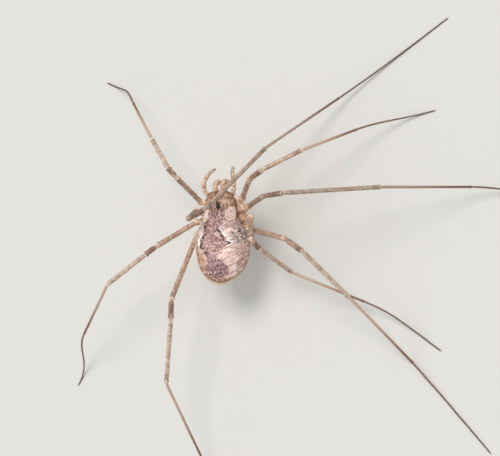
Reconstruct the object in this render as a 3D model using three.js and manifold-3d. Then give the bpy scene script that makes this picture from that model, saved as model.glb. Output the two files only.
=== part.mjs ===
// A harvestman with its eight long legs, standing still on a flat floor.
// Millimetres. +Y points to the head, +X to the animal's right, +Z up. The floor is z = 0.
import * as THREE from 'three';
import { mergeVertices } from 'three/addons/utils/BufferGeometryUtils.js';
import Module from 'manifold-3d';

const wasm = await Module();
wasm.setup();

// The trunk. Heights are measured from the level of the hips.
const hipLevel = 4.8;
const headEnd = 4.25;
const tailEnd = -4.15;
const waistY = 1.3;
const trunkWidth = 5.2;
const trunkStations = [
  { y: headEnd, wide: 0, top: 0.34, under: 0.34 },
  { y: 4.17, wide: 0.26, top: 0.56, under: 0.1 },
  { y: 3.92, wide: 0.43, top: 0.78, under: -0.12 },
  { y: 3.35, wide: 0.54, top: 0.98, under: -0.3 },
  { y: 2.5, wide: 0.575, top: 1.2, under: -0.42 },
  { y: 1.55, wide: 0.655, top: 1.72, under: -0.5 },
  { y: 0.7, wide: 0.86, top: 2.26, under: -0.68 },
  { y: -0.3, wide: 0.975, top: 2.48, under: -1.4 },
  { y: -1.4, wide: 0.95, top: 2.7, under: -1.48 },
  { y: -2.5, wide: 0.84, top: 2.65, under: -1.05 },
  { y: -3.42, wide: 0.6, top: 2.28, under: -0.15 },
  { y: -3.95, wide: 0.29, top: 1.82, under: 0.75 },
  { y: tailEnd, wide: 0, top: 1.28, under: 1.28 },
];
const widestShare = 0.45;
const trunkSides = 28;
const trunkRings = 44;

// The eye mound, just behind the middle of the head's front edge.
const moundY = 2.9;
const moundHalf = { x: 0.34, y: 0.44, z: 0.42 };
const moundLift = 0.16;
const moundTeeth = { perRow: 4, height: 0.16, radius: 0.09, lean: 0.8, outward: 0.5 };
const eyeRadius = 0.17;
const eyeSpread = 0.27;
const eyeForward = 0.04;
const eyeLift = 0.12;

// Rows of studs across the back: y of each row, and how far it reaches to either side.
const studRows = [
  { y: 1.74, reach: 1.2 },
  { y: 0.92, reach: 1.3 },
  { y: 0.05, reach: 1.3 },
  { y: -0.93, reach: 1.1 },
  { y: -1.88, reach: 0.9 },
  { y: -2.92, reach: 0.8 },
];
const studsPerRow = 6;
const stud = { height: 0.11, radius: 0.07 };

// A sparse row of spines along the top of the legs' femora and tibiae.
const legSpine = { count: 4, height: 0.12, radius: 0.06 };

// Mouthparts. Places are given as distance out from the middle line, y, and height above the hips.
const jaw = {
  root: [0.36, 3.8, 0.05],
  elbow: [0.4, 4.78, 0.2],
  wrist: [0.4, 5.0, -0.75],
  fingerTip: { apart: 0.1, forward: 0.05, down: 0.4 },
  thickness: 0.56,
  fingerRoot: 0.14,
  fingerEnd: 0.07,
};
const palp = {
  joints: [[1.0, 3.45, -0.1], [1.5, 4.4, 0.35], [1.45, 5.05, 0.3], [1.2, 5.75, -0.15], [0.88, 6.25, -1.15]],
  thickness: 0.5,
  endShares: [0.5, 0.5, 0.48, 0.34],
};

// Legs. Lengths run from joint to joint, in the order femur, patella, tibia, metatarsus, tarsus.
const legLengths = {
  first: [4.3, 1.4, 3.9, 5.2, 7.0],
  second: [7.4, 1.8, 8.3, 7.9, 12.0],
  third: [4.4, 1.4, 5.05, 7.0, 8.0],
  fourth: [6.6, 1.85, 6.1, 8.6, 10.5],
};
const hips = {
  first: { out: 2.05, y: 3.35, lift: 0 },
  second: { out: 2.6, y: 2.6, lift: 0 },
  third: { out: 2.65, y: 1.6, lift: -0.05 },
  fourth: { out: 2.75, y: 0.5, lift: -0.15 },
};
const coxaRoots = {
  first: { out: 0.5, y: 2.75 },
  second: { out: 0.55, y: 2.2 },
  third: { out: 0.6, y: 1.55 },
  fourth: { out: 0.6, y: 0.95 },
};
const coxaRootDrop = 0.62;
const coxaRadius = 0.42;
const trochanterRadius = 0.37;
const segmentNames = ['femur', 'patella', 'tibia', 'metatarsus', 'tarsus'];
const segmentThickness = { femur: 0.56, patella: 0.56, tibia: 0.52, metatarsus: 0.5, tarsus: 0.48 };
const clawThickness = 0.26;
const legSides = 8;
const tarsusRings = 12;

// How deep the underside of a foot is pressed flat.
const footPress = 0.03;

// How each leg stands: the bearing of every segment, from +X towards +Y, and its rise above the level, in
// degrees. The toe is the bearing that the tarsus takes on the floor.
const stance = {
  left: {
    first: { turns: [[100, 58], [137, -19], [128, -23], [128, -26]], toe: 152 },
    second: { turns: [[-16, 68], [38, -53], [53, -40], [34, -28]], toe: 30 },
    third: { turns: [[-145, 42], [-151, -2], [-151, -5], [-135, -23]], toe: -126 },
    fourth: { turns: [[-104, 30], [-104, -14], [-105, -10], [-82, -27]], toe: -74 },
  },
  right: {
    first: { turns: [[32, 50], [30, -6], [26, -30], [20, -36]], toe: 10 },
    second: { turns: [[8, 55], [4, 0], [-1, -33], [-5, -35]], toe: -12 },
    third: { turns: [[-51, 55], [-76, -53], [-68, -60], [-26, -10]], toe: -38 },
    fourth: { turns: [[-11, 41], [-42, -14], [-60, -36], [-60, -33]], toe: -52 },
  },
};
const sides = { left: -1, right: 1 };

// The clear gap that is left between neighbouring pieces, and a distance well beyond the animal.
const jointGap = 0.12;
const eyeGap = 0.05;
const beyond = 50;

const finishes = {
  carapace: { color: 0x9a7b66, roughness: 0.75 },
  back: { color: 0x8f705f, roughness: 0.78 },
  mound: { color: 0xb08d74, roughness: 0.7 },
  eye: { color: 0x1c100c, roughness: 0.15 },
  jaw: { color: 0xc9a98c, roughness: 0.6 },
  palp: { color: 0xb89878, roughness: 0.65 },
  hip: { color: 0xc7a88a, roughness: 0.65 },
  leg: { color: 0xa4836b, roughness: 0.62 },
  foot: { color: 0x6f5443, roughness: 0.6 },
};

// A closed solid from a geometry, with its shared corners merged.
function solidOf(geometry) {
  const bare = geometry.index ? geometry.clone() : geometry;
  bare.deleteAttribute('normal');
  bare.deleteAttribute('uv');
  const merged = mergeVertices(bare, 1e-5);
  return new wasm.Manifold(new wasm.Mesh({
    numProp: 3,
    vertProperties: new Float32Array(merged.attributes.position.array),
    triVerts: new Uint32Array(merged.index.array),
  }));
}

// The largest closed surface of a solid, as a geometry.
function geometryOf(solid) {
  const bodies = solid.decompose();
  const largest = bodies.reduce((best, body) => (body.volume() > best.volume() ? body : best));
  const mesh = largest.getMesh();
  const geometry = new THREE.BufferGeometry();
  geometry.setAttribute('position', new THREE.BufferAttribute(new Float32Array(mesh.vertProperties), 3));
  geometry.setIndex(new THREE.BufferAttribute(new Uint32Array(mesh.triVerts), 1));
  geometry.computeVertexNormals();
  return geometry;
}

// Smooth curves through the stations, with u from 0 at the head to 1 at the tail: half width and y, and the
// heights of back and belly.
const outlineCurve = stationCurve((station) => [station.wide * trunkWidth / 2, station.y]);
const heightCurve = stationCurve((station) => [station.top, station.under]);

function stationCurve(pick) {
  const points = trunkStations.map((station) => new THREE.Vector3(...pick(station), 0));
  return new THREE.CatmullRomCurve3(points, false, 'catmullrom');
}

// The trunk's section at u: half width, back and belly height, and the height where it is widest.
function sectionAt(u) {
  const outline = outlineCurve.getPoint(u);
  const heights = heightCurve.getPoint(u);
  return {
    y: outline.y,
    halfWidth: outline.x,
    top: heights.x,
    under: heights.y,
    middle: THREE.MathUtils.lerp(heights.y, heights.x, widestShare),
  };
}

// The section at a y, found by walking from the head to the tail.
function sectionNear(y) {
  const steps = 400;
  let i = 0;
  while (i < steps && outlineCurve.getPoint(i / steps).y > y) i += 1;
  return sectionAt(i / steps);
}

// The trunk in one piece, grown outwards all round by a margin.
function trunkForm(margin) {
  const form = new THREE.SphereGeometry(1, trunkSides, trunkRings);
  const point = new THREE.Vector3();
  const place = form.attributes.position;
  for (let i = 0; i < place.count; i += 1) {
    point.fromBufferAttribute(place, i);
    const u = Math.acos(THREE.MathUtils.clamp(point.y, -1, 1)) / Math.PI;
    const { y, halfWidth, top, under, middle } = sectionAt(u);
    const round = Math.hypot(point.x, point.z);
    const across = round > 1e-6 ? point.x / round : 0;
    const upright = round > 1e-6 ? point.z / round : 0;
    const reach = upright > 0 ? top - middle : middle - under;
    const swell = round > 1e-6 ? margin : 0;
    const lengthwise = Math.cos(Math.PI * u) * margin;
    place.setXYZ(
      i,
      across * (Math.max(halfWidth, 0) + swell),
      y + lengthwise,
      hipLevel + middle + upright * (Math.max(reach, 0) + swell));
  }
  return solidOf(form);
}

// Everything between two planes across an axis.
function slab(axis, from, to) {
  const size = { x: beyond * 4, y: beyond * 4, z: beyond * 4 };
  const centre = { x: 0, y: 0, z: 0 };
  size[axis] = to - from;
  centre[axis] = (to + from) / 2;
  const box = new THREE.BoxGeometry(size.x, size.y, size.z);
  box.translate(centre.x, centre.y, centre.z);
  return solidOf(box);
}

// A round limb that follows a curve. The profile lists [share of the length, radius] and closes on the axis.
function limb(curve, profile, sides) {
  const outline = [new THREE.Vector2(0, 0)];
  profile.forEach(([share, radius]) => outline.push(new THREE.Vector2(radius, share)));
  outline.push(new THREE.Vector2(0, 1));
  const form = new THREE.LatheGeometry(outline, sides);
  const place = form.attributes.position;
  const up = new THREE.Vector3(0, 0, 1);
  for (let i = 0; i < place.count; i += 1) {
    const share = place.getY(i);
    const centre = curve.getPointAt(share);
    const along = curve.getTangentAt(share);
    const side = new THREE.Vector3().crossVectors(along, up).normalize();
    const crown = new THREE.Vector3().crossVectors(side, along);
    centre.addScaledVector(side, place.getX(i));
    centre.addScaledVector(crown, place.getZ(i));
    place.setXYZ(i, centre.x, centre.y, centre.z);
  }
  return solidOf(form);
}

// A straight limb that is slimmer at its root and swells a little at its far end.
function straightLimb(from, to, rootRadius, endRadius, margin, sides) {
  const direction = new THREE.Vector3().subVectors(to, from).normalize();
  const start = from.clone().addScaledVector(direction, -margin);
  const end = to.clone().addScaledVector(direction, margin);
  const length = start.distanceTo(end);
  const round = endRadius + margin;
  const shoulder = 1 - round * 0.55 / length;
  const heel = round * 0.4 / length;
  return limb(new THREE.LineCurve3(start, end), [
    [0, (rootRadius + margin) * 0.6],
    [heel, rootRadius + margin],
    [shoulder * 0.8, endRadius * 0.94 + margin],
    [shoulder, round],
    [1, round * 0.55],
  ], sides);
}

// A small pointed tooth on a surface, pointing along a direction, with its root sunk in.
function tooth(at, direction, height, radius) {
  const sunk = radius;
  const cone = new THREE.ConeGeometry(radius, height + sunk, 5);
  cone.translate(0, (height - sunk) / 2, 0);
  cone.applyQuaternion(new THREE.Quaternion().setFromUnitVectors(new THREE.Vector3(0, 1, 0), direction));
  cone.translate(at.x, at.y, at.z);
  return solidOf(cone);
}

function heading(bearing, rise) {
  const turn = THREE.MathUtils.degToRad(bearing);
  const climb = THREE.MathUtils.degToRad(rise);
  return new THREE.Vector3(
    Math.cos(climb) * Math.cos(turn), Math.cos(climb) * Math.sin(turn), Math.sin(climb));
}

const harvestman = new THREE.Group();

function addPiece(name, finish, solid) {
  const mesh = new THREE.Mesh(geometryOf(solid), new THREE.MeshStandardMaterial({ ...finish, metalness: 0 }));
  mesh.name = name;
  harvestman.add(mesh);
}

const trunk = trunkForm(0);
const trunkRoom = trunkForm(jointGap);
const underFloor = slab('z', -beyond, 0);
const moundCentre = new THREE.Vector3(0, moundY, hipLevel + sectionNear(moundY).top + moundLift);

function eyeForm(side, margin) {
  const form = new THREE.SphereGeometry(eyeRadius + margin, 12, 8);
  form.translate(side * eyeSpread, moundY + eyeForward, moundCentre.z + eyeLift);
  return solidOf(form);
}

// The eye mound with its two rows of teeth, and an eye on either side.
function addEyeMound() {
  const form = new THREE.SphereGeometry(1, 14, 10);
  form.rotateX(Math.PI / 2);
  form.scale(moundHalf.x, moundHalf.y, moundHalf.z);
  form.translate(moundCentre.x, moundCentre.y, moundCentre.z);
  let mound = solidOf(form);
  for (const [hand, side] of Object.entries(sides)) {
    for (let i = 0; i < moundTeeth.perRow; i += 1) {
      const lean = THREE.MathUtils.lerp(-moundTeeth.lean, moundTeeth.lean, i / (moundTeeth.perRow - 1));
      const direction = new THREE.Vector3(side * moundTeeth.outward, -Math.sin(lean), Math.cos(lean));
      direction.normalize();
      const at = moundCentre.clone().add(direction.clone().multiply(moundHalf));
      mound = mound.add(tooth(at, direction, moundTeeth.height, moundTeeth.radius));
    }
    mound = mound.subtract(eyeForm(side, eyeGap));
    addPiece(`eye_${hand}`, finishes.eye, eyeForm(side, 0));
  }
  addPiece('eye_mound', finishes.mound, mound.subtract(trunkRoom));
}

// Small random shifts, the same on every run.
let seed = 17;
function jitter(amount) {
  seed = (seed * 16807) % 2147483647;
  return (seed / 2147483647 - 0.5) * 2 * amount;
}

// A point of the back at a distance to the side of the middle line, and the way that the surface faces there.
function backSpot(y, across) {
  const { halfWidth, top, middle } = sectionNear(y);
  const lean = Math.asin(THREE.MathUtils.clamp(across / halfWidth, -1, 1));
  const rise = top - middle;
  return {
    at: new THREE.Vector3(across, y, hipLevel + middle + rise * Math.cos(lean)),
    facing: new THREE.Vector3(Math.sin(lean) * rise, -0.5, Math.cos(lean) * halfWidth).normalize(),
  };
}

function withStuds(solid, rows) {
  let studded = solid;
  for (const row of rows) {
    for (let i = 0; i < studsPerRow; i += 1) {
      const across = THREE.MathUtils.lerp(-row.reach, row.reach, i / (studsPerRow - 1)) + jitter(0.08);
      const spot = backSpot(row.y + jitter(0.05), across);
      studded = studded.add(tooth(spot.at, spot.facing, stud.height, stud.radius));
    }
  }
  return studded;
}

// The trunk is parted across the waist into the head shield and the abdomen.
function addTrunk() {
  const shield = trunk.intersect(slab('y', waistY + jointGap / 2, beyond));
  const hind = trunk.intersect(slab('y', -beyond, waistY - jointGap / 2));
  const head = withStuds(shield, studRows.filter((row) => row.y > waistY));
  const abdomen = withStuds(hind, studRows.filter((row) => row.y < waistY));
  addPiece('cephalothorax', finishes.carapace, head);
  addPiece('abdomen', finishes.back, abdomen);
}

function mouthPlace(side, [out, y, height]) {
  return new THREE.Vector3(side * out, y, hipLevel + height);
}

// A jaw: a stout arm forward from under the head, then the hand that hangs with its two pincer fingers.
function jawForm(side, margin) {
  const [root, elbow, wrist] = [jaw.root, jaw.elbow, jaw.wrist].map((place) => mouthPlace(side, place));
  const arm = straightLimb(root, elbow, jaw.thickness * 0.42, jaw.thickness / 2, margin, 10);
  const hand = straightLimb(elbow, wrist, jaw.thickness / 2, jaw.thickness * 0.4, margin, 10);
  let form = arm.add(hand);
  const { apart, forward, down } = jaw.fingerTip;
  for (const finger of [-1, 1]) {
    const tip = wrist.clone().add(new THREE.Vector3(side * finger * apart, forward, -down));
    form = form.add(straightLimb(wrist, tip, jaw.fingerRoot, jaw.fingerEnd, margin, 6));
  }
  return form;
}

// A palp: femur, patella, tibia and tarsus in one piece, bent forward and down beside the jaws.
function palpForm(side, margin) {
  const joints = palp.joints.map((place) => mouthPlace(side, place));
  const pieces = palp.endShares.map((share, i) => straightLimb(
    joints[i], joints[i + 1], palp.thickness * 0.45, palp.thickness * share, margin, 8));
  return pieces.reduce((whole, piece) => whole.add(piece));
}

// A leg's short root: the coxa out from under the trunk, ending in the round trochanter that bears the femur.
function coxaForm(leg, margin) {
  const hip = hips[leg.pair];
  const root = coxaRoots[leg.pair];
  const from = new THREE.Vector3(leg.side * root.out, root.y, hipLevel - coxaRootDrop);
  const to = new THREE.Vector3(leg.side * hip.out, hip.y, hipLevel + hip.lift);
  const arm = straightLimb(from, to, coxaRadius * 0.75, coxaRadius, margin, 10);
  const ball = new THREE.SphereGeometry(trochanterRadius + margin, 10, 8);
  ball.translate(to.x, to.y, to.z);
  return arm.add(solidOf(ball));
}

// The joints of a leg, from the hip to the far end of the metatarsus.
function legJoints(leg) {
  const hip = hips[leg.pair];
  const joints = [new THREE.Vector3(leg.side * hip.out, hip.y, hipLevel + hip.lift)];
  leg.turns.forEach(([bearing, rise], i) => {
    joints.push(joints[i].clone().addScaledVector(heading(bearing, rise), legLengths[leg.pair][i]));
  });
  return joints;
}

// The tarsus's radius: thick for the first half of its length, then thinning to the claw.
function tarsusRadius(share) {
  const taper = THREE.MathUtils.smoothstep(share, 0.5, 1);
  return THREE.MathUtils.lerp(segmentThickness.tarsus, clawThickness, taper) / 2;
}

// The tarsus leaves the metatarsus in line and comes down until its underside lies level on the floor.
function tarsusCurve(leg, joints) {
  const from = joints[4];
  const length = legLengths[leg.pair][4];
  const [bearing, rise] = leg.turns[3];
  const sole = new THREE.Vector3(from.x, from.y, from.z - tarsusRadius(0));
  const reach = Math.sqrt(length * length - sole.z * sole.z) * 0.96;
  const fall = Math.sin(THREE.MathUtils.degToRad(-rise));
  const lead = Math.min(length * 0.34, 0.8 * sole.z / fall);
  const foot = new THREE.Vector3(from.x, from.y, -footPress).addScaledVector(heading(leg.toe, 0), reach);
  const underside = new THREE.CubicBezierCurve3(
    sole,
    sole.clone().addScaledVector(heading(bearing, rise), lead),
    foot.clone().addScaledVector(heading(leg.toe, 0), -length * 0.36),
    foot);
  const middle = underside.getSpacedPoints(tarsusRings);
  middle.forEach((point, i) => {
    point.z += tarsusRadius(i / tarsusRings);
  });
  return new THREE.CatmullRomCurve3(middle);
}

function tarsusForm(curve) {
  const profile = [];
  for (let i = 0; i <= tarsusRings; i += 1) {
    const rounding = i === 0 ? 0.6 : 1;
    profile.push([i / tarsusRings, tarsusRadius(i / tarsusRings) * rounding]);
  }
  return limb(curve, profile, legSides);
}

// Spines stand along the top of a segment and lean towards its far end.
function withSpines(solid, from, to, radius) {
  const along = new THREE.Vector3().subVectors(to, from).normalize();
  const side = new THREE.Vector3().crossVectors(along, new THREE.Vector3(0, 0, 1)).normalize();
  const crown = new THREE.Vector3().crossVectors(side, along);
  let spined = solid;
  for (let i = 0; i < legSpine.count; i += 1) {
    const share = (i + 1) / (legSpine.count + 1);
    const outward = crown.clone().addScaledVector(side, (i % 2 ? 0.5 : -0.5) + jitter(0.15)).normalize();
    const at = from.clone().lerp(to, share).addScaledVector(outward, radius * 0.92);
    const direction = outward.addScaledVector(along, 0.8).normalize();
    spined = spined.add(tooth(at, direction, legSpine.height, legSpine.radius));
  }
  return spined;
}

function addLeg(leg, room) {
  const joints = legJoints(leg);
  let neighbour = coxaForm(leg, jointGap);
  addPiece(`leg_${leg.name}_coxa`, finishes.hip, coxaForm(leg, 0).subtract(room));
  segmentNames.forEach((segment, i) => {
    const thickness = segmentThickness[segment];
    const finish = segment === 'tarsus' ? finishes.foot : finishes.leg;
    let solid;
    let grown;
    if (segment === 'tarsus') {
      solid = tarsusForm(tarsusCurve(leg, joints)).subtract(underFloor);
    } else {
      const slim = thickness * 0.44;
      solid = straightLimb(joints[i], joints[i + 1], slim, thickness / 2, 0, legSides);
      grown = straightLimb(joints[i], joints[i + 1], slim, thickness / 2, jointGap, legSides);
    }
    if (segment === 'femur' || segment === 'tibia') {
      solid = withSpines(solid, joints[i], joints[i + 1], thickness / 2);
    }
    addPiece(`leg_${leg.name}_${segment}`, finish, solid.subtract(neighbour));
    neighbour = grown;
  });
}

addTrunk();
addEyeMound();

for (const [hand, side] of Object.entries(sides)) {
  const jawRoom = jawForm(side, jointGap);
  addPiece(`jaw_${hand}`, finishes.jaw, jawForm(side, 0).subtract(trunkRoom));
  addPiece(`palp_${hand}`, finishes.palp, palpForm(side, 0).subtract(trunkRoom).subtract(jawRoom));
}

// The hips of one side are set from front to back, each clear of the one in front of it.
for (const [hand, side] of Object.entries(sides)) {
  let room = trunkRoom.add(palpForm(side, jointGap));
  Object.entries(stance[hand]).forEach(([pair, pose], i) => {
    const leg = { name: `${hand}_${i + 1}`, pair, side, ...pose };
    addLeg(leg, room);
    room = room.add(coxaForm(leg, jointGap));
  });
}

// The origin is the middle of the whole animal's box, on the floor.
const box = new THREE.Box3().setFromObject(harvestman);
const middle = box.getCenter(new THREE.Vector3());
harvestman.position.set(-middle.x, -middle.y, 0);

export default harvestman;
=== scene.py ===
import bpy
import numpy as np
from math import cos, sin, pi, radians, sqrt
from mathutils import Matrix, Vector
from mathutils.bvhtree import BVHTree
from mathutils.kdtree import KDTree


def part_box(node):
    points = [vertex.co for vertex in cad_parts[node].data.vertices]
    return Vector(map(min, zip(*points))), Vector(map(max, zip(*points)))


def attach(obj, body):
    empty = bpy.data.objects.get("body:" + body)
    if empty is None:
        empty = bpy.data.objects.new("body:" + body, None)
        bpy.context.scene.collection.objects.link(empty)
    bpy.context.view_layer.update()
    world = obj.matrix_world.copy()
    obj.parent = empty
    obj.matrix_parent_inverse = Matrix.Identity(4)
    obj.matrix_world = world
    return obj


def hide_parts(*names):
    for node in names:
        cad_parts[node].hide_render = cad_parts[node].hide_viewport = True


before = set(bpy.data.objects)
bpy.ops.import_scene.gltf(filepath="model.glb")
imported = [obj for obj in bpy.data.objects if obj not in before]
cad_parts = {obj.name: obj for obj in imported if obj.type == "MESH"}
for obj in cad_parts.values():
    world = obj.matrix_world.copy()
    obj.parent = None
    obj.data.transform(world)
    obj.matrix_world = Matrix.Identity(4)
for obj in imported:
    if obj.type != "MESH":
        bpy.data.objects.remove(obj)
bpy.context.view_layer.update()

print("frame loaded with", len(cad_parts), "solids")

# Everything is worked out in millimetres in the animal's own frame: +Y to the head, +X to its right,
# +Z up from the floor, with x = 0 and y = 0 in the middle of the trunk. The pieces then move to the solids.
mm = 0.001
trunk = {
    "hipLevel": 4.8,
    "headEnd": 4.25,
    "tailEnd": -4.15,
    "halfWidth": 2.6,
    "widest": 0.45,             # height of the widest line, as a share from belly to back
    # y, share of the half width, back and belly above the hip level
    "stations": (
        (4.25, 0, 0.34, 0.34), (4.17, 0.26, 0.56, 0.1), (3.92, 0.43, 0.78, -0.12), (3.35, 0.54, 0.98, -0.3),
        (2.5, 0.575, 1.2, -0.42), (1.55, 0.655, 1.72, -0.5), (0.7, 0.86, 2.26, -0.68),
        (-0.3, 0.975, 2.48, -1.4), (-1.4, 0.95, 2.7, -1.48), (-2.5, 0.84, 2.65, -1.05),
        (-3.42, 0.6, 2.28, -0.15), (-3.95, 0.29, 1.82, 0.75), (-4.15, 0, 1.28, 1.28),
    ),
    "rings": 240,
    "sides": 160,
    "turns": 360,
    "voxel": 0.046,
    "smoothing": 5,
}
headLow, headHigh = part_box("cephalothorax")
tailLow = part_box("abdomen")[0]
bodyOrigin = np.array([(headLow.x + headHigh.x) / 2 / mm, tailLow.y / mm - trunk["tailEnd"], 0.0])
rng = np.random.default_rng(41)
bothSides = ((-1, "left"), (1, "right"))


# Shapes

class Shape:
    # points in millimetres, faces, and the values that a material reads at each point
    def __init__(self, points, faces, **values):
        self.points = np.asarray(points, float)
        self.faces = faces
        self.values = values


def smoothStep(value, low, high):
    share = np.clip((value - low) / (high - low), 0, 1)
    return share * share * (3 - 2 * share)


def ridge(value, place, width):
    return np.exp(-((value - place) / width) ** 2)


def blend(first, second, share):
    return first + (second - first) * share


def unit(vectors):
    return vectors / np.maximum(np.linalg.norm(vectors, axis=-1, keepdims=True), 1e-9)


def heading(bearing, rise):
    turn, climb = radians(bearing), radians(rise)
    return np.array([cos(climb) * cos(turn), cos(climb) * sin(turn), sin(climb)])


def softNoise(points, scale, seed):
    # smooth random values from -1 to 1, from a whole-number hash at the corners of a grid
    place = np.asarray(points) * scale + seed * 7.13
    cell = np.floor(place).astype(np.int64)
    part = place - cell
    part = part * part * (3 - 2 * part)
    total = np.zeros(len(place))
    for corner in range(8):
        step = np.array([corner & 1, corner >> 1 & 1, corner >> 2 & 1])
        key = (cell + step) @ np.array([73856093, 19349663, 83492791]) + seed * 1013904223
        key = (key ^ (key >> 13)) * 1274126177 & 0x7fffffff
        key = (key ^ (key >> 15)) & 0xffff
        weight = np.prod(np.where(step == 1, part, 1 - part), axis=1)
        total += weight * (key / 32767.5 - 1)
    return total


def framesAlong(path, crown):
    # directions along, up and to the right at every point, carried along the path without twist
    along = unit(np.gradient(path, axis=0))
    up = np.array(crown, float)
    ups = np.empty_like(path)
    for i, direction in enumerate(along):
        up = unit(up - direction * (up @ direction))
        ups[i] = up
    return along, ups, np.cross(along, ups)


def spokesRound(turns, first, second):
    return np.cos(turns)[None, :, None] * first[:, None] + np.sin(turns)[None, :, None] * second[:, None]


def tubeFaces(count, sides, inward=False):
    # walls between the rings and a fan at either end; the two poles are the last two points
    here, after = np.arange(sides), (np.arange(sides) + 1) % sides
    first = np.arange(count - 1)[:, None] * sides
    walls = np.stack([first + here, first + after, first + sides + after, first + sides + here], axis=-1)
    faces = walls.reshape(-1, 4).tolist()
    pole, last = count * sides, (count - 1) * sides
    for i, following in enumerate(after.tolist()):
        faces.append([pole, following, i])
        faces.append([pole + 1, last + i, last + following])
    return [face[:1] + face[:0:-1] for face in faces] if inward else faces


def sweep(path, radii, sides, crown=(0, 0, 1), section=1.0, **values):
    # a closed tube; section scales the radius over rings and sides, values are one number a ring
    path, radii = np.asarray(path, float), np.asarray(radii, float)
    along, ups, rights = framesAlong(path, crown)
    reach = np.broadcast_to(radii[:, None] * section, (len(path), sides))
    turns = np.arange(sides) * 2 * pi / sides
    spokes = spokesRound(turns, ups, rights)
    rings = path[:, None] + reach[..., None] * spokes
    spread = {}
    for key, row in values.items():
        row = np.broadcast_to(np.asarray(row, float), (len(path),))
        spread[key] = np.concatenate([np.repeat(row, sides), row[:1], row[-1:]])
    keel = np.cos(5 * turns)                                   # 1 on the five edges of a leg
    spread["keel"] = np.concatenate([np.tile(keel, len(path)), [0, 0]])
    points = np.vstack([rings.reshape(-1, 3), path[:1], path[-1:]])
    shape = Shape(points, tubeFaces(len(path), sides), **spread)
    shape.path, shape.rings, shape.spokes, shape.along = path, rings, spokes, along
    return shape


def ball(centre, half, sides=24):
    turns = np.linspace(0, pi, sides // 2 + 1)
    radii = np.sin(turns)
    radii[[0, -1]] = 0.02
    shape = sweep(np.stack([0 * turns, -np.cos(turns), 0 * turns], axis=1), radii, sides)
    shape.points = shape.points * np.array(half) + centre
    return shape


def roundedPath(corners, spacing, fillet):
    # straight runs with round corners; also gives each point's run and its distance to both ends of the run
    corners = [np.asarray(corner, float) for corner in corners]
    runs = [unit(after - before) for before, after in zip(corners, corners[1:])]
    places, stations = [], []
    for i, direction in enumerate(runs):
        length = np.linalg.norm(corners[i + 1] - corners[i])
        steps = max(int(length / spacing), 4)
        isLast = i == len(runs) - 1
        for done in np.linspace(0, length, steps + 1)[:None if isLast else -1]:
            place = corners[i] + direction * done
            left = length - done
            for near, joint, sense in ((left, i + 1, -1), (done, i, 1)):
                if near < fillet and 0 < joint < len(corners) - 1:
                    here = 0.5 + sense * 0.5 * near / fillet
                    start = corners[joint] - runs[joint - 1] * fillet
                    end = corners[joint] + runs[joint] * fillet
                    place = (1 - here) ** 2 * start + 2 * here * (1 - here) * corners[joint] + here ** 2 * end
            places.append(place)
            stations.append((i, done, left))
    return np.array(places), np.array(stations)


def spikes(bases, directions, heights, radii, sides, roots):
    # many small cones that bulge a little, each sunk into the skin; roots are their places in the bake map
    bases, directions = np.asarray(bases, float), unit(np.asarray(directions, float))
    heights, radii = np.broadcast_to(heights, len(bases)), np.broadcast_to(radii, len(bases))
    helper = np.where(np.abs(directions[:, :1]) < 0.8, [[1.0, 0, 0]], [[0, 1.0, 0]])
    right = unit(np.cross(directions, helper))
    turns = np.arange(sides) * 2 * pi / sides
    spokes = spokesRound(turns, right, np.cross(right, directions))
    low = bases - directions * radii[:, None] * 0.7
    middle = bases + directions * heights[:, None] * 0.5
    tip = bases + directions * heights[:, None]
    lowRing = low[:, None] + spokes * radii[:, None, None]
    middleRing = middle[:, None] + spokes * (radii * 0.62)[:, None, None]
    points = np.concatenate([lowRing, middleRing, tip[:, None]], axis=1)
    pattern = [list(range(sides))[::-1]]
    for i in range(sides):
        after = (i + 1) % sides
        pattern.append([i, after, sides + after, sides + i])
        pattern.append([sides + i, sides + after, 2 * sides])
    size = 2 * sides + 1
    faces = [[corner + size * k for corner in face] for k in range(len(bases)) for face in pattern]
    rise = np.tile(np.concatenate([np.zeros(sides), np.full(sides, 0.5), [1.0]]), len(bases))
    shape = Shape(points.reshape(-1, 3), faces, rise=rise)
    patch = np.vstack([np.stack([np.cos(turns), np.sin(turns)], axis=1)] * 2 + [[[0, 0]]]) * 0.0015
    shape.roots = (np.asarray(roots)[:, None] + patch[None]).reshape(-1, 2)
    return shape


def readRows(items, key, kind, each, columns):
    row = np.empty(len(items) * each, kind)
    items.foreach_get(key, row)
    return row.reshape(-1, columns)


def linked(name, data):
    # a new object in the scene
    thing = bpy.data.objects.new(name, data)
    bpy.context.scene.collection.objects.link(thing)
    return thing


def voxelSkin(shapes, voxel, rounds):
    # overlapping closed shapes become one closed skin without a seam, which is then smoothed
    faces, count = [], 0
    for shape in shapes:
        faces.extend([[corner + count for corner in face] for face in shape.faces])
        count += len(shape.points)
    mesh = bpy.data.meshes.new("skinWork")
    mesh.from_pydata(np.vstack([shape.points for shape in shapes]).tolist(), [], faces)
    worker = linked("skinWork", mesh)
    remesh = worker.modifiers.new("voxels", "REMESH")
    remesh.mode = "VOXEL"
    remesh.voxel_size = voxel
    fused = bpy.data.meshes.new_from_object(worker.evaluated_get(bpy.context.evaluated_depsgraph_get()))
    points = readRows(fused.vertices, "co", float, 3, 3)
    quads = readRows(fused.loops, "vertex_index", np.int64, 1, 4)
    edges = readRows(fused.edges, "vertices", np.int64, 2, 2)
    bpy.data.objects.remove(worker)
    for leftover in (mesh, fused):
        bpy.data.meshes.remove(leftover)
    return relaxed(points, edges, rounds), quads, edges


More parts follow.
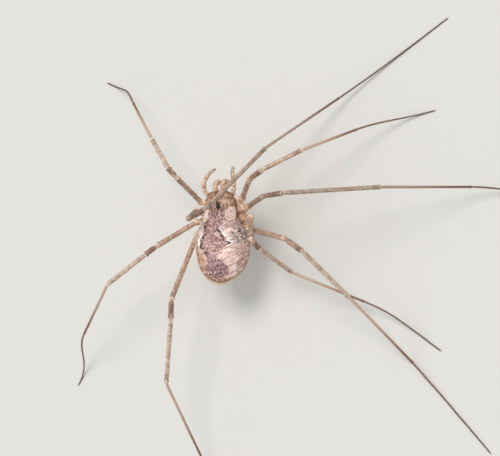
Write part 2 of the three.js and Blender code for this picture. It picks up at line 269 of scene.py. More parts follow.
def relaxed(points, edges, rounds, strength=0.5):
    # Laplacian smoothing of points, or of any value kept at the points
    values = points.reshape(len(points), -1).copy()
    count = np.bincount(edges.ravel(), minlength=len(values))[:, None]
    for _ in range(rounds):
        total = np.empty_like(values)
        for column in range(values.shape[1]):
            total[:, column] = (
                np.bincount(edges[:, 0], values[edges[:, 1], column], len(values))
                + np.bincount(edges[:, 1], values[edges[:, 0], column], len(values)))
        values += strength * (total / count - values)
    return values.reshape(points.shape)


def normalsOf(points, quads):
    flat = np.cross(points[quads[:, 2]] - points[quads[:, 0]], points[quads[:, 3]] - points[quads[:, 1]])
    total = np.zeros_like(points)
    for corner in range(4):
        np.add.at(total, quads[:, corner], flat)
    return unit(total)


def addPiece(name, shape, material, replaced=()):
    mesh = bpy.data.meshes.new(name)
    mesh.from_pydata(((shape.points + bodyOrigin) * mm).tolist(), [], shape.faces)
    for key, row in shape.values.items():
        layer = mesh.attributes.new(key, "FLOAT", "POINT")
        layer.data.foreach_set("value", np.asarray(row, np.float32))
    if hasattr(shape, "roots"):
        corners = readRows(mesh.loops, "vertex_index", np.int64, 1, 1).ravel()
        bake = mesh.uv_layers.new(name="OFBake")
        bake.data.foreach_set("uv", shape.roots[corners].astype(np.float32).ravel())
    mesh.polygons.foreach_set("use_smooth", np.ones(len(mesh.polygons), bool))
    mesh.materials.append(material)
    mesh.update()
    piece = linked(name, mesh)
    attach(piece, "root")
    if replaced:
        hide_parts(*replaced)
    return piece


# Materials

def tone(red, green, blue):
    # a colour from 0 to 255 as the shader takes it
    return tuple((part / 255 / 12.92 if part < 11 else ((part / 255 + 0.055) / 1.055) ** 2.4)
                 for part in (red, green, blue)) + (1.0,)


class Wire:
    # one value of a material: sums with it add their own Math nodes
    def __init__(self, paint, socket):
        self.paint, self.socket = paint, socket

    def maths(self, operation, *values):
        return self.paint.add("ShaderNodeMath", {"operation": operation}, dict(enumerate(values or (self,))))

    def __add__(self, other):
        return self.maths("ADD", self, other)

    def __radd__(self, other):
        return self.maths("ADD", other, self)

    def __sub__(self, other):
        return self.maths("SUBTRACT", self, other)

    def __rsub__(self, other):
        return self.maths("SUBTRACT", other, self)

    def __mul__(self, other):
        return self.maths("MULTIPLY", self, other)

    def __rmul__(self, other):
        return self.maths("MULTIPLY", other, self)

    def __truediv__(self, other):
        return self.maths("DIVIDE", self, other)

    def __abs__(self):
        return self.maths("ABSOLUTE")

    def ease(self, low, high):
        # 0 at low and 1 at high with a smooth rise between; low may be the larger of the two
        settings = {"interpolation_type": "SMOOTHSTEP"}
        return self.paint.add("ShaderNodeMapRange", settings, {0: self, 1: low, 2: high})

    def window(self, low, high, soft):
        return self.ease(low - soft, low + soft) * self.ease(high + soft, high - soft)


class Paint:
    # one material and its nodes; its tones are known by their names
    def __init__(self, name, tones, bright=1):
        self.material = bpy.data.materials.new(name)
        self.material.use_nodes = True
        self.tree = self.material.node_tree
        self.tree.nodes.clear()
        self.hue = {key: tone(*(part * bright for part in parts)) for key, parts in tones.items()}

    def add(self, kind, settings=None, sockets=None, output=0):
        node = self.tree.nodes.new(kind)
        for key, value in (settings or {}).items():
            if key == "points":
                self.setPoints(node.mapping, value)
            else:
                setattr(node, key, value)
        for key, value in (sockets or {}).items():
            if isinstance(value, Wire):
                self.tree.links.new(value.socket, node.inputs[key])
            else:
                node.inputs[key].default_value = value
        return Wire(self, node.outputs[output]) if len(node.outputs) else None

    def setPoints(self, mapping, points):
        curve = mapping.curves[0].points
        while len(curve) < len(points):
            curve.new(0.5, 0.5)
        for spot, place in zip(curve, points):
            spot.location = place
        mapping.update()

    def value(self, name):
        return self.add("ShaderNodeAttribute", {"attribute_name": name}, output=2)

    def stretched(self, place, factors):
        return self.add("ShaderNodeVectorMath", {"operation": "MULTIPLY"}, {0: place, 1: factors})

    def ownPlace(self):
        # the object's own coordinates in millimetres
        return self.stretched(self.add("ShaderNodeTexCoord", output=3), (1 / mm,) * 3)

    def noise(self, place, scale, detail=2.0, rough=0.5, twist=0.0):
        return self.add("ShaderNodeTexNoise", None, {
            "Vector": place, "Scale": scale, "Detail": detail, "Roughness": rough, "Distortion": twist})

    def cells(self, place, scale, feature="F1"):
        return self.add("ShaderNodeTexVoronoi", {"feature": feature}, {"Vector": place, "Scale": scale})

    def netting(self, place, scale, low, high):
        # a net of thin lines round uneven cells
        shift = self.add("ShaderNodeTexNoise", None, {"Vector": place, "Scale": 3.0, "Detail": 3.0}, 1)
        bent = self.add("ShaderNodeVectorMath", {"operation": "MULTIPLY_ADD"}, {
            0: shift, 1: (0.35,) * 3, 2: place})
        return self.cells(bent, scale, "DISTANCE_TO_EDGE").ease(high, low)

    def mix(self, share, first, second, mode="MIX"):
        # colours are links or the names of tones
        first, second = (self.hue.get(colour, colour) for colour in (first, second))
        return self.add("ShaderNodeMix", {"data_type": "RGBA", "blend_type": mode}, {
            0: share, 6: first, 7: second}, 2)

    def layers(self, colour, *rows):
        # further colours over the first one, each with its share
        for over, share in rows:
            colour = self.mix(share, colour, over)
        return colour

    def bump(self, height, depth, strength=1.0):
        sockets = {"Height": height, "Distance": depth * mm, "Strength": strength}
        return self.add("ShaderNodeBump", None, sockets)

    def finish(self, colour, roughness, normal=None, **constants):
        sockets = {"Base Color": colour, "Roughness": roughness}
        if normal is not None:
            sockets["Normal"] = normal
        sockets.update({key.replace("_", " "): value for key, value in constants.items()})
        shader = self.add("ShaderNodeBsdfPrincipled", None, sockets)
        self.add("ShaderNodeOutputMaterial", None, {"Surface": shader})
        return self.material


# The trunk, the hips and the eye mound under one skin

eyeMound = {
    "y": 2.9,
    "half": (0.34, 0.44, 0.42),
    "lift": 0.16,
    "eyeRadius": 0.17,
    "eyeOut": 0.235,
    "eyeForward": 0.04,
    "eyeUp": 0.15,
    "lensOut": (0.03, 0.005, 0.012),
}
hips = {
    # how far out, y and lift above the hip level of each trochanter; the coxa's inner end
    "first": {"out": 2.05, "y": 3.35, "lift": 0.0, "rootOut": 0.5, "rootY": 2.75},
    "second": {"out": 2.6, "y": 2.6, "lift": 0.0, "rootOut": 0.55, "rootY": 2.2},
    "third": {"out": 2.65, "y": 1.6, "lift": -0.05, "rootOut": 0.6, "rootY": 1.55},
    "fourth": {"out": 2.75, "y": 0.5, "lift": -0.15, "rootOut": 0.6, "rootY": 0.95},
}
hipSizes = {
    "rootDrop": 0.62,
    "coxaRadius": 0.41,
    "coxaShort": 0.28,          # how far before the trochanter's middle the coxa ends
    "coxaBow": 0.06,
    "trochanterRadius": 0.345,
}
hipSpots = [(pair, side) for pair in hips for side in (-1, 1)]
marks = {
    # y of the folds between the back plates, of the two on the head shield, and of those on the belly
    "tergites": (0.75, -0.15, -1.05, -1.95, -2.75, -3.4, -3.85),
    "headFolds": (1.95, 1.34),
    "sternites": (-1.15, -1.85, -2.5, -3.1, -3.6),
    "scallops": 5.0,            # how fast the pale border's scallops follow each other, and how deep they are
    "scallopDepth": 0.15,
    "sweep": 0.42,              # how far forward a fold runs for each millimetre down the flank
    "sweepFrom": 0.9,
    "creasePitch": 0.56,
    # the saddle's edge on either side: y and distance from the middle line
    "saddleRight": (
        (4.2, 0.1), (3.7, 0.5), (3.2, 0.55), (2.6, 0.8), (2.1, 1.0), (1.65, 0.97), (1.19, 0.79), (0.91, 0.67),
        (0.62, 0.79), (0.44, 1.02), (0.05, 1.22), (-0.27, 1.42), (-0.48, 1.79), (-0.61, 1.31), (-0.93, 0.99),
        (-1.26, 0.75), (-1.59, 0.55), (-1.95, 0.92), (-2.32, 1.22), (-2.87, 1.4), (-3.1, 1.2), (-3.48, 0.6),
        (-3.75, 0.0)),
    "saddleLeft": (
        (4.2, 0.1), (3.7, 0.55), (3.2, 0.6), (2.6, 0.85), (2.1, 1.15), (1.53, 1.43), (1.11, 1.26),
        (0.74, 1.1), (0.3, 1.26), (-0.11, 1.52), (-0.65, 1.57), (-0.85, 1.3), (-1.1, 0.97), (-1.51, 0.78),
        (-1.93, 0.64),
        (-2.29, 0.8), (-2.88, 0.88), (-3.34, 0.55), (-3.7, 0.0)),
    # the pale ledge begins where the skin is this steep: a little higher up on the left flank and the rear;
    # the extra reach on the left flank is a painted rim sheen
    "rimLevel": 0.33,
    "rimSheenLean": 0.45,
    "rimRear": 0.3,
}
relief = {
    # how far each feature of the body's skin stands up or sinks in
    "plateFold": 0.05, "crease": 0.035, "ripple": 0.012, "pebble": 0.010, "headFold": 0.055, "headRim": 0.035,
    "headDip": 0.03, "boss": 0.022, "orbit": 0.045, "furrow": 0.05, "bellyPlate": 0.1, "bellySeam": 0.05,
    "hipGroove": 0.045, "hipGrain": 0.014,
}


def trunkCurve(share):
    # the stations joined by a smooth curve: y, half width, back and belly height
    table = np.array([(y, wide * trunk["halfWidth"], trunk["hipLevel"] + top, trunk["hipLevel"] + under)
                      for y, wide, top, under in trunk["stations"]])
    place = np.clip(share, 0, 1) * (len(table) - 1)
    cell = np.minimum(place.astype(int), len(table) - 2)
    part = (place - cell)[:, None]
    longer = np.vstack([2 * table[0] - table[1], table, 2 * table[-1] - table[-2]])
    before, start, end, after = (longer[cell + i] for i in range(4))
    return 0.5 * (2 * start + (end - before) * part + (2 * before - 5 * start + 4 * end - after) * part ** 2
                  + (3 * start - before - 3 * end + after) * part ** 3)


trunkTable = trunkCurve(np.linspace(0, 1, trunk["rings"] + 1))
trunkTable[:, 1] = np.maximum(trunkTable[:, 1], 0)
trunkMiddle = blend(trunkTable[:, 3], trunkTable[:, 2], trunk["widest"])
trunkTurns = np.linspace(-pi, pi, trunk["turns"] + 1)


def trunkSurface(turns):
    # points over all stations and turns; a turn is 0 on the back and grows to the animal's right
    y, wide, top, under = trunkTable.T
    upright, across = np.cos(turns), np.sin(turns)
    reach = np.where(upright > 0, (top - trunkMiddle)[:, None], (trunkMiddle - under)[:, None])
    return np.stack([wide[:, None] * across, np.repeat(y[:, None], len(turns), 1),
                     trunkMiddle[:, None] + reach * upright], axis=-1)


# distance over the skin from the back's middle line, at each station and turn
arcTable = np.linalg.norm(np.diff(trunkSurface(trunkTurns), axis=1), axis=2)
arcTable = np.concatenate([np.zeros((len(arcTable), 1)), np.cumsum(arcTable, axis=1)], axis=1)
arcTable -= arcTable[:, [trunk["turns"] // 2]]


def trunkRow(y):
    return np.interp(-y, -trunkTable[:, 0], np.arange(len(trunkTable)))


def trunkCoordinates(points):
    # arc distance from the back's middle line (right is positive), and share of the trunk's reach
    row = trunkRow(points[:, 1])
    wide, top, under = (np.interp(row, np.arange(len(trunkTable)), trunkTable[:, k]) for k in (1, 2, 3))
    middle = blend(under, top, trunk["widest"])
    height = points[:, 2] - middle
    upright = height / np.maximum(np.where(height > 0, top - middle, middle - under), 0.05)
    across = points[:, 0] / np.maximum(wide, 0.05)
    column = (np.arctan2(across, upright) + pi) / (2 * pi) * trunk["turns"]
    low = np.minimum(column.astype(int), trunk["turns"] - 1)
    near = np.round(row).astype(int)
    arc = blend(arcTable[near, low], arcTable[near, low + 1], column - low)
    return arc, np.hypot(across, upright)


def backPoint(y, arc):
    # the place on the smooth trunk at a y and an arc distance from the middle line
    row = int(round(float(trunkRow(y))))
    turn = float(np.interp(arc, arcTable[row], trunkTurns))
    _, wide, top, under = trunkTable[row]
    reach = top - trunkMiddle[row] if cos(turn) > 0 else trunkMiddle[row] - under
    return np.array([wide * sin(turn), y, trunkMiddle[row] + reach * cos(turn)])


def hipPlace(pair, side):
    hip = hips[pair]
    return np.array([side * hip["out"], hip["y"], trunk["hipLevel"] + hip["lift"]])


moundCentre = backPoint(eyeMound["y"], 0) + np.array([0, 0, eyeMound["lift"]])
eyePlaces = {
    side: moundCentre + np.array([side * eyeMound["eyeOut"], eyeMound["eyeForward"], eyeMound["eyeUp"]])
    for side in (-1, 1)}


def hipShapes(pair, side):
    # a coxa runs out from under the trunk and swells to its end, which bears the round trochanter
    hip = hips[pair]
    outer = hipPlace(pair, side)
    inner = np.array([side * hip["rootOut"], hip["rootY"], trunk["hipLevel"] - hipSizes["rootDrop"]])
    direction = unit(outer - inner)
    length = np.linalg.norm(outer - inner) - hipSizes["coxaShort"]
    share = np.linspace(0, 1, 24)
    bow = np.sin(share * pi) * hipSizes["coxaBow"]
    path = inner + direction * (share * length)[:, None] + np.array([0, 0, -1.0]) * bow[:, None]
    swell = blend(0.74, 1.0, smoothStep(share, 0.1, 0.75)) * np.where(share > 0.9, 1 - (share - 0.9) * 3.2, 1)
    swell[0] *= 0.6
    size = hipSizes["trochanterRadius"]
    trochanter = ball(outer, (size, size * 0.96, size * 0.94), 20)
    return [sweep(path, hipSizes["coxaRadius"] * swell, 20), trochanter]


def trunkShape():
    rings = trunkSurface(np.linspace(-pi, pi, trunk["sides"], endpoint=False))[1:-1]
    ends = [[0, trunk["headEnd"], trunkTable[0, 2]], [0, trunk["tailEnd"], trunkTable[-1, 2]]]
    return Shape(np.vstack([rings.reshape(-1, 3), ends]), tubeFaces(*rings.shape[:2], inward=True))


def bodyFolds(y, arc, points):
    # how strongly each point lies in a fold between plates or a crease of the flank, or on a swell between
    down = np.maximum(np.abs(arc) - marks["sweepFrom"], 0)
    swept = y - marks["sweep"] * down + softNoise(points, 1.3, 3) * 0.07
    plates = sum(ridge(swept, fold, 0.06) for fold in marks["tergites"])
    plates *= smoothStep(-np.abs(arc), -4.4, -3.2)
    flank = smoothStep(down, 0.1, 0.7) * smoothStep(-down, -3.0, -1.9) * smoothStep(-y, -0.5, 0.2)
    phase = (swept + softNoise(points, 2.4, 5) * 0.05) / marks["creasePitch"]
    creases = np.abs(phase - np.floor(phase) - 0.5) * 2
    # the swell is the middle of each ridge between creases, where the flank's colour gets a painted highlight
    swell = smoothStep(1 - creases, 0.35, 0.9) * flank
    creases = smoothStep(creases, 0.74, 0.97) * flank * (0.6 + 0.4 * softNoise(points, 1.7, 9))
    return plates, np.clip(creases, 0, 1), swell


def makeBodySkin():
    shapes = [trunkShape(), ball(moundCentre, eyeMound["half"])]
    for pair, side in hipSpots:
        shapes += hipShapes(pair, side)
    points, quads, edges = voxelSkin(shapes, trunk["voxel"], trunk["smoothing"])
    normals = normalsOf(points, quads)
    arc, reach = trunkCoordinates(points)
    y = points[:, 1]
    onTrunk = smoothStep(-reach, -1.16, -1.03)
    onMound = (1 - onTrunk) * smoothStep(-np.linalg.norm((points - moundCentre) / 0.75, axis=1), -1, -0.85)
    onHip = np.clip(1 - onTrunk - onMound, 0, 1)
    onTrunk = relaxed(onTrunk, edges, 2)
    tilt = relaxed(normals[:, 2], edges, 6)
    # the lean lifts the ledge and the cream underside higher on the left flank: a painted rim sheen on that
    # side
    rim = tilt - marks["rimLevel"] + marks["rimSheenLean"] * relaxed(normals[:, 0], edges, 6)
    rim -= marks["rimRear"] * smoothStep(-y, 2.8, 3.9)
    plates, creases, swell = bodyFolds(y, arc, points)
    onBack = smoothStep(tilt, -0.35, 0.15)
    onHead = smoothStep(y, 1.25, 1.45)
    lift = np.zeros(len(points))

    # folds of the back, with ripples and pebbles between them
    offHead = 1 - onHead
    behind = onTrunk * onBack * offHead
    lift -= behind * (relief["plateFold"] * plates + relief["crease"] * creases)
    lift += behind * relief["ripple"] * softNoise(points * np.array([0.6, 2.6, 1.0]), 2.2, 11)
    lift += behind * relief["pebble"] * softNoise(points, 5.5, 12)

    # the head shield: two folds across, a raised rim and shallow bosses over the hips
    head = onTrunk * onBack * onHead
    for fold in marks["headFolds"]:
        lift -= onTrunk * onBack * relief["headFold"] * ridge(y + 0.12 * arc ** 2, fold + 0.1, 0.06)
    lift += head * relief["headRim"] * ridge(tilt, 0.42, 0.12)
    lift -= head * relief["headDip"] * ridge(tilt, 0.72, 0.08)
    lift += head * relief["boss"] * softNoise(points, 2.6, 13)

    # orbits round the eyes, and a furrow along the top of the mound
    for eye in eyePlaces.values():
        away = np.linalg.norm(points - eye, axis=1)
        lift += relief["orbit"] * ridge(away, eyeMound["eyeRadius"] + 0.045, 0.035) * (1 - onHip)
    lift -= onMound * relief["furrow"] * ridge(points[:, 0], 0, 0.05)

    # the belly: the plate over the genital opening, and the folds behind it
    onBelly = onTrunk * smoothStep(-tilt, 0.1, 0.45)
    plateReach = np.hypot(points[:, 0] / 0.72, (y - 1.15) / 1.95)
    seams = ridge(plateReach, 1.02, 0.04)
    for fold in marks["sternites"]:
        seams = np.maximum(seams, ridge(y - 0.06 * points[:, 0] ** 2, fold, 0.05))
    seams *= onBelly
    lift += onBelly * relief["bellyPlate"] * smoothStep(-plateReach, -1.0, -0.9) - relief["bellySeam"] * seams

    # a groove in each coxa before the trochanter
    for pair, side in hipSpots:
        away = np.linalg.norm(points - hipPlace(pair, side), axis=1)
        lift -= relief["hipGroove"] * ridge(away, hipSizes["trochanterRadius"] + 0.055, 0.045)
    lift += onHip * relief["hipGrain"] * softNoise(points, 4.5, 15)

    return Shape(points + normals * lift[:, None], quads.tolist(), along=y, across=arc, tilt=tilt, rim=rim,
                 hip=onHip, mound=onMound, folds=np.clip(plates, 0, 1) * offHead, creases=creases * offHead,
                 swell=swell * offHead, seams=seams)


studs = {
    "rows": (2.42, 1.74, 0.92, 0.05, -0.93, -1.88, -2.92),     # y of the rows across the plates
    "strays": 70,
    "overEye": 5,
    "height": 0.12,
    "radius": 0.07,
    "halo": 0.13,               # how far the rusty ring round a stud reaches
}


def studPlaces():
    # y, distance from the middle line and size of the white-tipped studs: rows, with a few strays between
    places = []
    for y in studs["rows"]:
        spread = 1.35 if y < 2 else 0.95
        count = 9 if y > 0 else 8
        for k in range(count):
            arc = blend(-spread, spread, (k + 0.5) / count) - 0.08 + rng.uniform(-0.09, 0.09)
            if y > 2 and abs(arc) < 0.5:
                continue
            places.append((y + rng.uniform(-0.07, 0.07), arc, rng.uniform(0.7, 1.1)))
    for _ in range(studs["strays"]):
        places.append((rng.uniform(-3.6, 3.4), rng.uniform(-2.0, 2.0), rng.uniform(0.35, 0.6)))
    return [spot for spot in places if not (spot[0] > 2.1 and abs(spot[1]) < 0.6)]


def addStuds(skin):
    # also tells the skin how near each of its points is to a stud
    tree = BVHTree.FromPolygons([tuple(point) for point in skin.points], skin.faces)
    rows = []
    for y, arc, size in studPlaces():
        hit, normal, _, _ = tree.find_nearest(Vector(backPoint(y, arc)))
        rows.append((hit, Vector(normal) + Vector((0, -0.45, 0)), size, (0.5 + arc / 12, 0.5 + y / 12)))
    for side in (-1, 1):
        for k in range(studs["overEye"]):
            lean = blend(-0.95, 0.95, k / (studs["overEye"] - 1))
            direction = unit(np.array([side * 0.42, -sin(lean), cos(lean)]))
            hit = tree.find_nearest(Vector(moundCentre + direction * np.array(eyeMound["half"])))[0]
            rows.append((hit, Vector(direction), 0.85, (0.5 + side * 0.02, 0.76 + 0.01 * k)))
    bases, directions, sizes, roots = zip(*rows)
    sizes = np.array(sizes)
    near = KDTree(len(bases))
    for i, place in enumerate(bases):
        near.insert(place, i)
    near.balance()
    reach = np.empty(len(skin.points))
    for i, point in enumerate(skin.points):
        _, nearest, away = near.find(point)
        reach[i] = away / sizes[nearest]
    skin.values["halo"] = ridge(reach, 0, studs["halo"])
    return spikes(bases, directions, studs["height"] * sizes, studs["radius"] * sizes, 7, roots)


bodyTones = {
    "flank": (255, 224, 215), "flankWarm": (246, 202, 188), "flankStreak": (212, 158, 140),
    "flankLeft": (180, 136, 110), "flankPale": (255, 240, 233), "flankFleck": (168, 112, 92),
    "lowFleck": (122, 84, 68), "crease": (154, 98, 80), "swell": (255, 233, 226),
    "speckGround": (178, 152, 140), "speckDark": (56, 44, 42), "speckPale": (255, 250, 246),
    "saddle": (214, 168, 163), "saddleShade": (184, 139, 136), "saddleStreak": (146, 102, 99),
    "saddlePale": (255, 218, 208), "saddleDark": (116, 76, 72), "blotch": (54, 32, 32),
    "rear": (200, 166, 164), "rearShade": (162, 130, 132), "rearDark": (136, 106, 108),
    "rearBlack": (50, 32, 34),
    "border": (255, 252, 250), "band": (240, 216, 198), "bandShade": (204, 168, 146),
    "head": (194, 146, 112), "headShade": (152, 106, 78), "headDark": (98, 64, 48),
    "headPale": (240, 202, 172),
    "lobe": (255, 228, 218), "net": (142, 98, 82), "rust": (168, 110, 72), "orbit": (84, 52, 44),
    "tail": (176, 132, 100), "tailShade": (112, 76, 56), "tailPale": (226, 190, 152),
    "ledge": (224, 194, 156), "ledgeShade": (176, 134, 98), "dots": (88, 56, 40), "fold": (112, 74, 62),
    "belly": (248, 232, 210), "bellyShade": (230, 204, 178), "bellyFleck": (184, 146, 120),
    "hip": (238, 206, 174), "hipShade": (206, 164, 132), "hipDark": (132, 90, 66),
    "brow": (170, 126, 104), "browDark": (66, 40, 32), "halo": (166, 104, 78), "pits": (126, 82, 80),
    "glint": (255, 244, 236), "speck": (140, 132, 128), "white": (255, 255, 255),
}
bodyNoise = {
    # scale, detail and roughness of each noise of the pattern
    "broad": (0.9, 3.0, 0.55), "patchy": (1.7, 2.0, 0.5), "medium": (2.4, 3.0, 0.6),
    "mottle": (4.6, 2.0, 0.5), "fine": (8.0, 3.0, 0.6), "grain": (17.0, 2.0, 0.6),
}


def bodyPattern(keys):
    # the body's paint, with the values that several parts of its pattern share
    skin = Paint("body_cuticle", bodyTones)
    for key in keys:
        setattr(skin, key, skin.value(key))
    place = skin.ownPlace()
    for key, row in bodyNoise.items():
        setattr(skin, key, skin.noise(place, *row))
    skin.streak = skin.noise(skin.stretched(place, (0.5, 2.0, 1.0)), 3.0, 3.0, 0.6, 0.4)
    skin.away = abs(skin.across)
    skin.pale, skin.dark = skin.fine.ease(0.53, 0.62), skin.fine.ease(0.46, 0.37)
    skin.palePatch, skin.darkPatch = skin.mottle.ease(0.54, 0.61), skin.mottle.ease(0.46, 0.39)
    skin.net = skin.netting(place, 4.4, 0.02, 0.1) * skin.medium.ease(0.42, 0.56)
    skin.beads = skin.cells(place, 6.5)

    # the saddle's edge on either side: its curve, with scallops in front and a ragged rear
    length = trunk["headEnd"] - trunk["tailEnd"]
    share = (skin.along - trunk["tailEnd"]) / length
    edges = []
    for key in ("saddleRight", "saddleLeft"):
        spots = [((y - trunk["tailEnd"]) / length, out / 2) for y, out in marks[key]]
        spots = [(0.0, 0.0)] + spots[::-1] + [(1.0, 0.05)]
        edges.append(skin.add("ShaderNodeFloatCurve", {"points": spots}, {"Value": share}) * 2)
    skin.onRight = skin.across.ease(-0.04, 0.04)
    edge = edges[0] * skin.onRight + edges[1] * (1 - skin.onRight)
    scallops = abs((skin.along * marks["scallops"]).maths("SINE")) * marks["scallopDepth"]
    ragged = blend(0.12, 0.34, skin.along.ease(-0.5, -1.3))
    wobble = (skin.medium - 0.5) * ragged + (skin.fine - 0.5) * ragged
    skin.inside = edge - scallops + wobble - skin.away
    soft = blend(0.02, 0.09, skin.along.ease(-0.7, -1.5))
    behindEyes = (skin.along + (skin.mottle - 0.5) * 0.5).ease(2.5, 2.3)
    skin.saddle = (skin.inside / soft).ease(-1.0, 1.0) * behindEyes
    return skin


def marbling(skin, pale, dark, shares):
    # pale and dark patches, then pale and dark flecks
    parts = ((pale, skin.palePatch), (dark, skin.darkPatch), (pale, skin.pale), (dark, skin.dark))
    return [(over, part * share) for (over, part), share in zip(parts, shares)]


def flankColour(skin):
    # pinkish cream with a painted highlight along the slanting swells, thin brown lines of uneven strength in
    # the creases and a grey speckled patch in front
    along, away, medium, mottle, fine = skin.along, skin.away, skin.medium, skin.mottle, skin.fine
    leftRear = (skin.across - along.ease(-1.8, -2.6) * 0.35).ease(-0.6, -1.2) * along.ease(-0.7, -1.2)
    speckled = (away + (medium - 0.5) * 2.4 + (mottle - 0.5) * 0.9).ease(1.5, 1.95)
    speckled = speckled * along.window(-0.6, 1.1, 0.4)
    low = (away + (medium - 0.5) * 1.2).ease(1.9, 2.3) * along.window(-3.3, -0.7, 0.4)
    # uneven strength of the brown lines along the creases
    creaseStrength = fine.ease(0.32, 0.52) * blend(0.25, 0.9, medium.ease(0.42, 0.6))
    shoulder = away.ease(0.9, 1.2) * along.window(0.95, 2.1, 0.15)
    return skin.layers(
        skin.mix(skin.broad.ease(0.38, 0.62), "flank", "flankWarm"),
        ("flankStreak", skin.streak.ease(0.52, 0.62) * 0.45),
        # painted highlight along the swells between the creases
        ("swell", skin.swell * 0.6),
        *marbling(skin, "flankPale", "flankFleck", (0.55, 0.45, 0.5, 0.45)),
        ("flankLeft", leftRear * 0.85),
        ("flankFleck", leftRear * medium.ease(0.5, 0.6) * 0.6),
        ("tailPale", leftRear * skin.palePatch * 0.5),
        ("speckGround", speckled * 0.8),
        ("speckDark", speckled * skin.darkPatch * 0.85),
        ("speckDark", speckled * fine.ease(0.46, 0.42) * 0.7),
        ("speckPale", speckled * skin.palePatch * 0.6),
        ("speckPale", speckled * skin.beads.ease(0.3, 0.18) * 0.75),
        ("lowFleck", low * (fine + (medium - 0.5) * 0.5).ease(0.52, 0.58) * 0.75),
        ("lowFleck", low * mottle.ease(0.56, 0.6) * 0.6),
        ("flankPale", low * skin.beads.ease(0.26, 0.14) * 0.6),
        # brown lines in the sunk creases of the flank
        ("crease", skin.creases * creaseStrength),
        ("speckGround", shoulder * 0.6),
        ("net", skin.net * shoulder * 0.7))


def saddleColour(skin):
    # mauve brown, greyer to the front and rear, marbled, with dark blotches inside its edge
    along, inside, medium, mottle, fine = skin.along, skin.inside, skin.medium, skin.mottle, skin.fine
    grey = along.ease(-1.1, -2.3) + along.ease(0.65, 1.2) * 0.75
    light, shade = skin.mix(grey, "saddle", "rear"), skin.mix(grey, "saddleShade", "rearShade")
    nape = along.ease(0.75, 1.2)
    blotch = inside.ease(0.42, 0.16) * skin.patchy.ease(0.46, 0.54) * along.window(-1.3, 1.15, 0.1)
    blotch = blotch + inside.ease(0.1, 0.03) * along.window(-1.2, 1.0, 0.1) * 0.3
    corner = along.window(-1.75, -0.45, 0.12) * skin.across.ease(-0.3, -0.6)
    blotch = blotch + corner * inside.ease(0.66, 0.3) * fine.ease(0.4, 0.52) * 0.75
    ragged = inside.ease(0.24, 0.08) * along.ease(-1.1, -2.3)
    blotch = blotch + ragged * mottle.ease(0.54, 0.6) * 0.6
    rearPatch = (along + (mottle - 0.5) * 0.5).window(-3.45, -2.25, 0.08) * medium.ease(0.34, 0.44)
    return skin.layers(
        skin.mix(skin.broad.ease(0.4, 0.6), light, shade),
        ("saddleStreak", skin.streak.ease(0.48, 0.6) * 0.6),
        *marbling(skin, "saddlePale", "saddleDark", (0.6, 0.7, 0.5, 0.5)),
        ("rearShade", along.window(-2.3, -1.35, 0.2) * 0.8),
        ("rearShade", nape * 0.45),
        ("rearBlack", nape * skin.darkPatch * 0.5),
        ("blotch", blotch.ease(0.05, 0.8) * 0.9),
        ("rearDark", rearPatch * 0.72),
        ("rearBlack", rearPatch * fine.ease(0.44, 0.38) * 0.9),
        ("saddlePale", rearPatch * skin.beads.ease(0.24, 0.12) * 0.7))


def patchAt(skin, centre, half):
    # a rounded patch with a ragged edge, at the same place on either side
    along = (skin.along - centre[0]) / half[0]
    out = (skin.away - centre[1]) / half[1]
    reach = along * along + out * out + (skin.medium - 0.5) * 1.6 + (skin.fine - 0.5) * 0.6
    return reach.ease(1.1, 0.9)


def headColour(skin):
    # the head shield: brown, patched dark and pale, with a pale netted lobe at either rear corner
    along, away, medium, fine = skin.along, skin.away, skin.medium, skin.fine
    front = along.ease(3.1, 3.5)
    around = away.window(0.55, 2.2, 0.1) * along.window(1.42, 3.0, 0.1)
    spots = along.window(2.2, 2.5, 0.07) + along.window(1.58, 1.85, 0.06)
    spots = spots * away.window(0.42, 0.82, 0.07) * fine.ease(0.38, 0.5)
    middle = (away + (medium - 0.5) * 0.9).ease(0.75, 0.45) * along.window(2.15, 3.2, 0.15)
    lobe = patchAt(skin, (2.12, 1.42), (0.62, 0.6)) + patchAt(skin, (3.2, 0.78), (0.3, 0.44)) * 0.2
    return skin.layers(
        skin.mix(skin.broad.ease(0.42, 0.6), "head", "headShade"),
        ("headDark", skin.streak.ease(0.5, 0.6) * 0.6),
        ("rust", medium.ease(0.54, 0.62) * away.window(0.5, 1.5, 0.25) * 0.7),
        ("rust", front * 0.55),
        ("headDark", front * medium.ease(0.42, 0.52) * 0.85),
        ("orbit", front * skin.darkPatch * 0.7),
        ("tailPale", front * fine.ease(0.56, 0.62) * 0.5),
        ("headDark", around * medium.ease(0.36, 0.52) * 0.62),
        ("orbit", (spots + middle * 0.7).ease(0.1, 0.8) * 0.85),
        *marbling(skin, "headPale", "headDark", (0.6 - front * 0.3, 0.65, 0.45, 0.5)),
        ("lobe", lobe * 0.96),
        ("headShade", lobe * skin.darkPatch * 0.4),
        ("net", skin.net * (lobe * 0.2 + 0.3)))


def borderRows(skin):
    # the crisp pale border outside the saddle's front half, and the pale band beyond it on the left
    along, inside = skin.along, skin.inside
    outer = inside.ease(0.02, -0.01)
    narrow = outer * inside.ease(-0.24, -0.17) * along.window(-0.62, 0.98, 0.06)
    narrow = narrow * (1 - skin.onRight * along.ease(-0.38, -0.52))
    band = outer * inside.ease(-0.62, -0.45) * (1 - skin.onRight) * along.window(-1.15, 1.3, 0.1)
    beside = outer * inside.ease(-0.7, -0.2) * along.window(-0.7, 1.0, 0.15)
    return (
        ("flankPale", beside * 0.5),
        (skin.mix(skin.darkPatch * 0.6, "band", "bandShade"), band * 0.9),
        ("border", narrow * skin.fine.ease(0.28, 0.42)))


def tailRow(skin):
    # tan with brown flecks, round the tail and a little up the left side
    reach = skin.along + skin.across.ease(-0.3, -1.2) * -0.5 + (skin.medium - 0.5) * 0.5
    tan = skin.mix(skin.fine.ease(0.54, 0.46), "tail", "tailShade")
    return skin.layers(tan, ("tailPale", skin.palePatch * 0.6)), reach.ease(-3.3, -3.6) * 0.85


